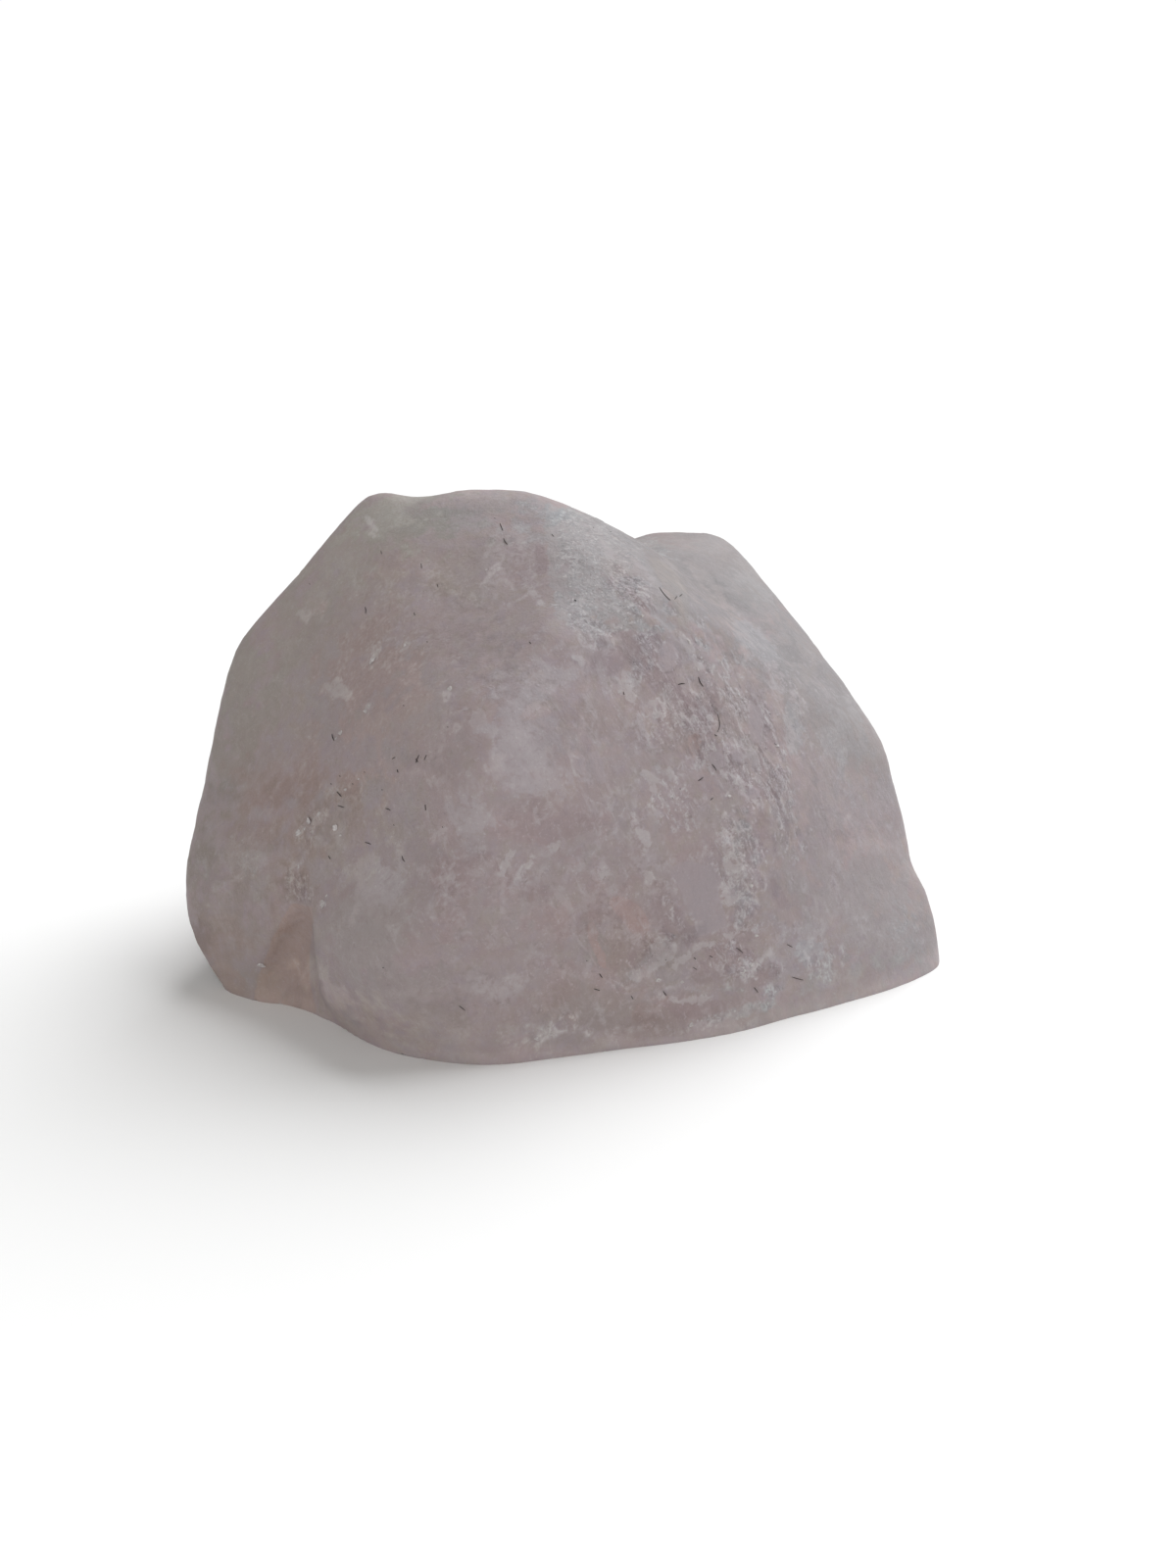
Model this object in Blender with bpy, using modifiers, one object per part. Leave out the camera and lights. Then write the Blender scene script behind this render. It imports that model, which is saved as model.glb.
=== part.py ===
"""Rough amethyst: one loose chunk of pale, milky quartz, as it broke from the rock.

The chunk is shaped the way it formed. Convex lumps, each the hull of its own corners, are joined
into one body. A split and some shell-shaped breaks are cut out of it, and its edges are worn
round. Then its skin is moved in and out: low swells and hollows, torn ledges where the quartz
came away in fibres, and a faint unevenness all over. It is cut level underneath, where it rests.

Units are metres in Blender; the tables below are in millimetres. +Z is up, and +Y is away from
the side with the nose. The origin is at the middle of the base.
"""

import math

import bmesh
import bpy
from mathutils import Vector, noise

MM = 0.001

# Driving dimensions, in millimetres
WORN_GRID = 0.8
WORN_PASSES = 24
SPLIT_GRID = 0.6
SPLIT_PASSES = 6
SOFTENING_PASSES = 2
LEDGE_PITCH = 3.6
LEDGE_DEPTH = 0.28
LEDGE_WANDER = 9.0
UNEVEN_WAVES = ((11.0, 0.34), (4.2, 0.13))
LEVEL_SNAP = 0.06

TRIANGLES = 10000
SHARP_DEGREES = 45.0

# The torn ledges step across the fibres, which run down to the right on the front. Each ledge
# drops off over this share of its width.
ACROSS_FIBRES = Vector((0.80, 0.42, 0.42))
LEDGE_DROP = 0.25

COLOUR = (0.308, 0.262, 0.264)
ROUGHNESS = 0.42

# The corners of each lump, in millimetres
MAIN_LUMP = (
    # crest, from the left horn over the summit and down to the right
    (-18.9, 5.8, 39.5),
    (-11.5, 7.0, 38.0),
    (-5.0, 4.6, 39.6),
    (5.0, 9.5, 34.3),
    # top, behind the crest
    (-16.5, 15.0, 34.2),
    (-5.0, 18.0, 32.8),
    # left side, from the shoulder down
    (-30.2, 2.5, 26.4),
    (-31.0, 0.5, 21.5),
    (-33.0, -2.5, 13.9),
    (-34.2, -5.5, 8.0),
    (-33.2, -7.3, 3.3),
    (-28.9, -8.9, -2.5),
    # nose, from under the summit down to the front of the base
    (-2.2, -2.4, 35.6),
    (-2.0, -9.6, 31.2),
    (-7.5, -19.0, 23.0),
    (-9.0, -21.0, 14.0),
    (-6.0, -19.9, -2.5),
    # right of the nose
    (6.5, -4.6, 32.2),
    (10.3, -9.0, 23.0),
    (12.5, -12.3, 12.6),
    (10.5, -16.2, -2.5),
    (21.0, -11.2, -2.5),
    (28.5, -6.6, -2.5),
    (21.5, 2.5, 19.0),
    # right side
    (27.3, 7.5, 16.3),
    (28.0, 5.0, 12.0),
    (29.0, 3.0, 9.0),
    # back
    (-28.0, 12.0, 22.0),
    (-29.0, 10.0, 2.0),
    (-24.0, 16.0, -1.5),
    (-12.0, 25.0, 12.0),
    (-6.0, 24.0, -1.5),
    (14.0, 26.0, -1.5),
    (25.0, 18.0, -1.5),
)

FRONT_FOOT = (
    (-19.6, -12.4, 15.0),
    (-21.6, -14.6, 10.0),
    (-22.0, -14.9, 4.0),
    (-14.0, -21.4, 8.5),
    (-9.0, -21.0, 14.0),
    (-13.6, -18.5, -2.5),
    (-17.0, -15.0, -2.5),
    (-6.0, -19.9, -2.5),
    (-8.0, -10.0, -2.5),
    (-12.0, -8.0, 14.0),
)

BACK_PEAK = (
    (6.8, 26.0, 33.3),
    (13.6, 26.0, 33.1),
    (15.2, 22.6, 31.5),
    (18.9, 17.6, 26.5),
    (23.3, 12.5, 21.8),
    (25.6, 9.0, 19.0),
    (27.3, 7.0, 16.4),
    (6.4, 10.8, 32.9),
    (11.2, 13.4, 32.1),
    (15.4, 7.6, 27.4),
    (2.0, 12.0, 30.0),
    (-5.0, 22.0, 30.0),
    (-9.0, 23.0, 17.0),
    (4.0, 28.5, 16.0),
    (18.0, 26.0, 14.0),
    (25.0, 17.0, 8.0),
    (8.0, 27.0, 0.0),
    (0.0, 5.0, 10.0),
)

RIGHT_FOOT = (
    (29.8, 0.8, 6.6),
    (30.9, -1.0, 2.4),
    (30.6, -5.2, -2.5),
    (24.0, -7.0, 5.0),
    (25.0, 4.0, 7.0),
    (20.0, -10.0, -1.5),
    (24.0, 10.0, -1.5),
    (30.2, 3.0, -2.5),
    (15.0, 0.0, 2.0),
)

# The split beside the front foot: a wedge with its narrow end up and a shallow foot
SPLIT = (
    (-21.4, -13.0, 10.6),
    (-22.2, -15.5, 11.0),
    (-22.8, -12.2, 8.4),
    (-23.6, -15.5, 8.8),
    (-25.5, -9.7, 3.2),
    (-26.3, -14.0, 3.4),
    (-25.2, -11.0, -2.5),
    (-25.6, -15.0, -3.0),
    (-20.6, -12.2, 8.2),
    (-21.0, -11.5, 4.0),
    (-21.4, -13.3, -2.5),
    (-20.4, -26.0, 11.0),
    (-21.4, -26.0, -3.0),
    (-30.0, -26.0, -3.0),
)

# Shell-shaped breaks on the hidden sides: the middle and the size of the ball that cuts each
SHELLS = (
    ((-40.0, 34.0, 34.0), 27.5),
    ((-14.0, 52.0, -6.0), 28.5),
    ((38.0, 44.0, 14.0), 29.0),
    ((-8.0, 38.0, 52.0), 24.6),
)

# Swells (raised) and hollows (sunk) in the skin: middle, reach and height
SWELLS = (
    ((-4.1, -17.0, 23.4), 8.0, 0.7),
    ((-3.4, -18.0, 14.2), 5.5, -0.75),
    ((-10.5, -7.0, 31.0), 9.0, -0.9),
    ((-1.8, -3.6, 34.8), 4.5, 0.45),
    ((-2.4, -10.6, 30.2), 4.5, 0.5),
    ((2.9, -16.3, 8.2), 5.5, -0.6),
    ((9.1, -14.4, 2.6), 4.5, -0.45),
    ((-14.0, -20.0, 9.8), 7.5, 0.5),
    ((-13.6, 7.0, 38.2), 4.2, -0.9),
    ((-21.1, -3.7, 24.5), 9.0, -0.55),
    ((-28.6, -6.6, 8.9), 6.0, 0.35),
    ((21.2, 1.9, 12.7), 7.0, -0.55),
    ((28.8, 1.5, 8.8), 3.4, -0.35),
    ((12.0, -11.7, 12.6), 5.0, 0.35),
)

# Where the quartz tore off in fibres: middle and reach
TORN = (
    ((6.8, -8.0, 24.0), 11.0),
    ((13.5, -10.5, 10.0), 8.5),
)


def set_of(name):
    """A collection linked to the scene."""
    collection = bpy.data.collections.new(name)
    bpy.context.scene.collection.children.link(collection)
    return collection


def object_of(name, mesh, collection):
    made = bpy.data.objects.new(name, mesh)
    collection.objects.link(made)
    return made


def helper_of(name, mesh, collection):
    """An object that only shapes another one, so it is left out of renders."""
    made = object_of(name, mesh, collection)
    made.hide_render = True
    made.display_type = "WIRE"
    return made


def mesh_of(name, bm):
    mesh = bpy.data.meshes.new(name)
    bm.to_mesh(mesh)
    bm.free()
    return mesh


def hull_mesh(name, corners):
    """The convex hull of corners given in millimetres."""
    bm = bmesh.new()
    for corner in corners:
        bm.verts.new(Vector(corner) * MM)
    found = bmesh.ops.convex_hull(bm, input=bm.verts)
    spare = set(found["geom_interior"]) | set(found["geom_unused"])
    bmesh.ops.delete(bm, geom=[v for v in spare if isinstance(v, bmesh.types.BMVert)])
    bmesh.ops.recalc_face_normals(bm, faces=bm.faces)
    return mesh_of(name, bm)


def ball_mesh(name, middle, radius):
    """A ball, its middle and radius in millimetres."""
    bm = bmesh.new()
    bmesh.ops.create_icosphere(bm, subdivisions=5, radius=radius * MM)
    bmesh.ops.translate(bm, verts=bm.verts, vec=Vector(middle) * MM)
    return mesh_of(name, bm)


def boolean(target, other, operation):
    modifier = target.modifiers.new(other.name, "BOOLEAN")
    modifier.operation = operation
    modifier.object = other


def wear(target, grid, passes):
    """Remakes the surface in even faces and wears its edges round."""
    remesh = target.modifiers.new("even faces", "REMESH")
    remesh.mode = "VOXEL"
    remesh.voxel_size = grid * MM
    smooth = target.modifiers.new("worn edges", "SMOOTH")
    smooth.iterations = passes


def settled(source):
    """A new mesh, as source's modifiers make it."""
    graph = bpy.context.evaluated_depsgraph_get()
    return bpy.data.meshes.new_from_object(source.evaluated_get(graph))


def fading(point, middle, reach):
    """1 at middle, falling smoothly to 0 at reach, in millimetres."""
    share = (point - Vector(middle)).length / reach
    return 0.0 if share >= 1.0 else (1.0 - share * share) ** 2


def swelling(point):
    return sum(height * fading(point, middle, reach) for middle, reach, height in SWELLS)


def unevenness(point):
    return sum(height * noise.noise(point / length) for length, height in UNEVEN_WAVES)


def ledges(point):
    """Steps that rise slowly and drop off short, as torn fibres leave them."""
    torn = max(fading(point, middle, reach) for middle, reach in TORN)
    across = point.dot(ACROSS_FIBRES) / LEDGE_PITCH + noise.noise(point / LEDGE_WANDER)
    rise = across - math.floor(across)
    drop = min(1.0, (1.0 - rise) / LEDGE_DROP)
    return LEDGE_DEPTH * min(1.0, 2 * torn) * (rise * drop - 0.5)


def moved_skin(mesh):
    """Moves each point of the skin in or out, square to it."""
    bm = bmesh.new()
    bm.from_mesh(mesh)
    bm.normal_update()
    heights = []
    for vert in bm.verts:
        point = vert.co / MM
        heights.append(swelling(point) + unevenness(point) + ledges(point))
    for vert, height in zip(bm.verts, heights):
        vert.co += vert.normal * height * MM
    bm.to_mesh(mesh)
    bm.free()


def fewer_triangles(target):
    """Softens the new edges a little and thins the mesh out."""
    smooth = target.modifiers.new("softened", "SMOOTH")
    smooth.iterations = SOFTENING_PASSES
    faces = sum(len(face.vertices) - 2 for face in target.data.polygons)
    decimate = target.modifiers.new("fewer triangles", "DECIMATE")
    decimate.ratio = TRIANGLES / faces


def on_level_base(mesh):
    """Cuts the stone off level at height 0."""
    bm = bmesh.new()
    bm.from_mesh(mesh)
    for vert in bm.verts:
        if abs(vert.co.z) < LEVEL_SNAP * MM:
            vert.co.z = 0.0
    whole = list(bm.verts) + list(bm.edges) + list(bm.faces)
    bmesh.ops.bisect_plane(
        bm, geom=whole, plane_co=(0, 0, 0), plane_no=(0, 0, -1), clear_outer=True
    )
    rim = [edge for edge in bm.edges if edge.is_boundary]
    bmesh.ops.edgenet_fill(bm, edges=rim)
    bmesh.ops.triangulate(bm, faces=bm.faces)
    bmesh.ops.recalc_face_normals(bm, faces=bm.faces)
    bm.to_mesh(mesh)
    bm.free()


def centred(stone):
    """Puts the middle of the stone's box over the origin."""
    corners = [Vector(corner) for corner in stone.bound_box]
    for axis in (0, 1):
        across = [corner[axis] for corner in corners]
        stone.location[axis] = -(min(across) + max(across)) / 2


def finish():
    """The stone's skin: pale, milky and faintly pink, with a waxy sheen."""
    material = bpy.data.materials.new("milky quartz")
    material.use_nodes = True
    shader = material.node_tree.nodes["Principled BSDF"]
    shader.inputs["Base Color"].default_value = (*COLOUR, 1.0)
    shader.inputs["Roughness"].default_value = ROUGHNESS
    shader.inputs["Metallic"].default_value = 0.0
    return material


def main():
    for old in list(bpy.data.objects):
        bpy.data.objects.remove(old)
    shapers = set_of("shaping lumps")
    stone_set = set_of("rough amethyst")

    blank = helper_of("main lump", hull_mesh("main lump", MAIN_LUMP), shapers)
    lumps = (("front foot", FRONT_FOOT), ("back peak", BACK_PEAK), ("right foot", RIGHT_FOOT))
    for name, corners in lumps:
        boolean(blank, helper_of(name, hull_mesh(name, corners), shapers), "UNION")
    for number, (middle, radius) in enumerate(SHELLS, 1):
        name = f"shell break {number}"
        boolean(blank, helper_of(name, ball_mesh(name, middle, radius), shapers), "DIFFERENCE")
    wear(blank, WORN_GRID, WORN_PASSES)
    boolean(blank, helper_of("split", hull_mesh("split", SPLIT), shapers), "DIFFERENCE")
    wear(blank, SPLIT_GRID, SPLIT_PASSES)
    skin = settled(blank)
    moved_skin(skin)
    blank.modifiers.clear()
    blank.data = skin
    fewer_triangles(blank)

    mesh = settled(blank)
    on_level_base(mesh)
    stone = object_of("amethyst", mesh, stone_set)
    bpy.data.objects.remove(blank)
    centred(stone)
    mesh.shade_smooth()
    mesh.set_sharp_from_angle(angle=math.radians(SHARP_DEGREES))
    mesh.materials.append(finish())


main()
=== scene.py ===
# %% [markdown]
# # A rough lump of milky quartz
# This lesson dresses a plain solid of a broken quartz lump, about 64 mm long, until it looks like the
# real stone: worn faces, torn fibrous ledges, frosted crumbs, clouds of rose and milk inside the stone,
# tiny glassy chips, and a few lint fibres caught on the skin. The solid comes first, because everything
# else lies on it.

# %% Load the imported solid
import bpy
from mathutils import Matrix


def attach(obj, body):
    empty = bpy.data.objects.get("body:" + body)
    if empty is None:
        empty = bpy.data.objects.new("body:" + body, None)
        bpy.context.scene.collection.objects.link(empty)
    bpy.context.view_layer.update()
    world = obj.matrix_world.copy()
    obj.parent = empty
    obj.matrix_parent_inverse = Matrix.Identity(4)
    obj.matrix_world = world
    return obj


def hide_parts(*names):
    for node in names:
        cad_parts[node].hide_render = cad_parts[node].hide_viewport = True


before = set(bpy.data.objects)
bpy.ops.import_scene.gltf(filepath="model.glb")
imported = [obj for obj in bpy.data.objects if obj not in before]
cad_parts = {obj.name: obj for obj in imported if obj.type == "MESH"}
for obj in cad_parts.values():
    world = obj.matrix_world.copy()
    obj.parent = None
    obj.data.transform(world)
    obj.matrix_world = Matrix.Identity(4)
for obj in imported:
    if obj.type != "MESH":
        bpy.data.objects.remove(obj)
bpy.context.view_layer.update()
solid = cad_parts["amethyst"]

# %% Modules and lengths
import math
import random

import bpy
import numpy as np
from mathutils import Matrix, Vector, noise
from mathutils.bvhtree import BVHTree

MM = 0.001
NOISE_SEED = 7
# Without a seed, Blender's noise vectors come from the clock and the stone differs a little each run.
noise.seed_set(NOISE_SEED)


# %% [markdown]
# ## The camera
# A close photograph has strong perspective: the nose of the stone looks large and the back peak small.
# So the camera stands where the photographer's did, about 10 cm from the stone and looking down a
# little, and not far away with a long lens. The same numbers later tell which point of the skin lies
# behind a point of the picture, so that a mark can be put on the stone.

# %% Camera
CAMERA_AT = Vector((0.001432, -0.108316, 0.0492))
LOOK_DOWN = math.radians(18.0)
LENS, SENSOR = 30.0, 36.0
PICTURE = (1200, 1600)
FOCAL = LENS / SENSOR * PICTURE[1]
FORWARD = Vector((0.0, math.cos(LOOK_DOWN), -math.sin(LOOK_DOWN)))
UP = Vector((0.0, math.sin(LOOK_DOWN), math.cos(LOOK_DOWN)))

camera_data = bpy.data.cameras.new("camera")
camera_data.lens, camera_data.sensor_width = LENS, SENSOR
camera_data.clip_start, camera_data.clip_end = 0.002, 20.0
camera = bpy.data.objects.new("camera", camera_data)
camera.location = CAMERA_AT
camera.rotation_euler = (math.radians(90.0) - LOOK_DOWN, 0.0, 0.0)
bpy.context.scene.collection.objects.link(camera)
bpy.context.scene.camera = camera


def ray_through(u, v):
    """Direction of the sight line through a point of the 1200 x 1600 picture."""
    right, high = (u - PICTURE[0] / 2) / FOCAL, (PICTURE[1] / 2 - v) / FOCAL
    return (FORWARD + Vector((right, 0.0, 0.0)) + high * UP).normalized()


def picture_points(places):
    """Where an array of points in space lies in the picture, as an array of u and v."""
    seen = places - np.array(CAMERA_AT)
    depth = seen @ np.array(FORWARD)
    return np.stack((PICTURE[0] / 2 + FOCAL * seen[:, 0] / depth,
                     PICTURE[1] / 2 - FOCAL * (seen @ np.array(UP)) / depth), axis=1)


print("camera", [round(x * 1000, 1) for x in CAMERA_AT], "mm, focal length", round(FOCAL), "pixels")


# %% [markdown]
# ## The skin of the stone
# The solid has large triangles, too few for the torn places. A voxel remesh turns a copy of it into an
# even net of small squares that can be pushed in and out like clay, and a little smoothing takes away
# the stair steps that a remesh leaves. A remesh also chews up a sharp rim, so the level underside is
# first extruded downwards and cut off level again afterwards. The copy's doubled points are merged at
# the start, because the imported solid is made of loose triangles.

# %% Helpers for selecting and for modifiers
def choose_only(piece):
    """Deselects everything, then selects one piece and makes it the active one."""
    bpy.ops.object.select_all(action="DESELECT")
    piece.select_set(True)
    bpy.context.view_layer.objects.active = piece


def edit_faces(piece, wanted):
    """Goes into edit mode with just the wanted faces selected."""
    choose_only(piece)
    bpy.ops.object.mode_set(mode="EDIT")
    bpy.ops.mesh.select_mode(type="FACE")
    bpy.ops.mesh.select_all(action="DESELECT")
    bpy.ops.object.mode_set(mode="OBJECT")
    for face in piece.data.polygons:
        face.select = wanted(face)
    bpy.ops.object.mode_set(mode="EDIT")


def apply_modifier(piece, kind, **settings):
    """Adds a modifier, sets it and applies it."""
    choose_only(piece)
    modifier = piece.modifiers.new(kind.title(), kind)
    for name, value in settings.items():
        setattr(modifier, name, value)
    bpy.ops.object.modifier_apply(modifier=modifier.name)


# %% An even net over the stone
NET = 0.54 * MM
BELOW = 3.0 * MM

stone = bpy.data.objects.new("stone_skin", solid.data.copy())
bpy.context.scene.collection.objects.link(stone)
stone.data.materials.clear()
choose_only(stone)
bpy.ops.object.mode_set(mode="EDIT")
bpy.ops.mesh.select_all(action="SELECT")
bpy.ops.mesh.remove_doubles(threshold=0.001 * MM)
bpy.ops.object.mode_set(mode="OBJECT")
edit_faces(stone, lambda face: face.normal.z < -0.99 and face.center.z < 0.01 * MM)
bpy.ops.mesh.extrude_region_move(TRANSFORM_OT_translate={"value": (0.0, 0.0, -BELOW)})
bpy.ops.object.mode_set(mode="OBJECT")
apply_modifier(stone, "REMESH", mode="VOXEL", voxel_size=NET)
apply_modifier(stone, "SMOOTH", factor=0.5, iterations=2)
choose_only(stone)
bpy.ops.object.mode_set(mode="EDIT")
bpy.ops.mesh.select_all(action="SELECT")
bpy.ops.mesh.bisect(plane_co=(0.0, 0.0, 0.0), plane_no=(0.0, 0.0, 1.0), use_fill=True, clear_inner=True)
bpy.ops.mesh.select_all(action="SELECT")
bpy.ops.mesh.remove_doubles(threshold=0.04 * MM)
bpy.ops.object.mode_set(mode="OBJECT")
print("net:", len(stone.data.polygons), "faces, lowest",
      round(min(v.co.z for v in stone.data.vertices) / MM, 3), "mm")


# %% [markdown]
# ## A finer net on the side that shows its detail
# The side that faces the camera gets marks as small as a quarter of a millimetre, so its net is
# subdivided once. The far sides keep the coarser net, and their finest grain comes from the material.

# %% Which points face the camera
def skin_arrays():
    """Places and normals of all points of the skin, as arrays."""
    vertices = stone.data.vertices
    places, normals = (np.empty(3 * len(vertices), np.float32) for _ in range(2))
    vertices.foreach_get("co", places)
    vertices.foreach_get("normal", normals)
    return places.reshape(-1, 3).astype(float), normals.reshape(-1, 3).astype(float)


def facing(places, normals):
    """How squarely each point of the skin looks at the camera, from -1 to 1."""
    sight = np.array(CAMERA_AT) - places
    return (normals * sight).sum(axis=1) / np.linalg.norm(sight, axis=1)


def subdivide(piece, wanted):
    """Cuts each wanted face in four."""
    edit_faces(piece, wanted)
    bpy.ops.mesh.subdivide(number_cuts=1, quadcorner="STRAIGHT_CUT")
    bpy.ops.object.mode_set(mode="OBJECT")


shown = facing(*skin_arrays())
subdivide(stone, lambda face: all(shown[i] > 0.02 for i in face.vertices) and face.normal.z > -0.95)
print("net with a finer front:", len(stone.data.polygons), "faces")
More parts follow.
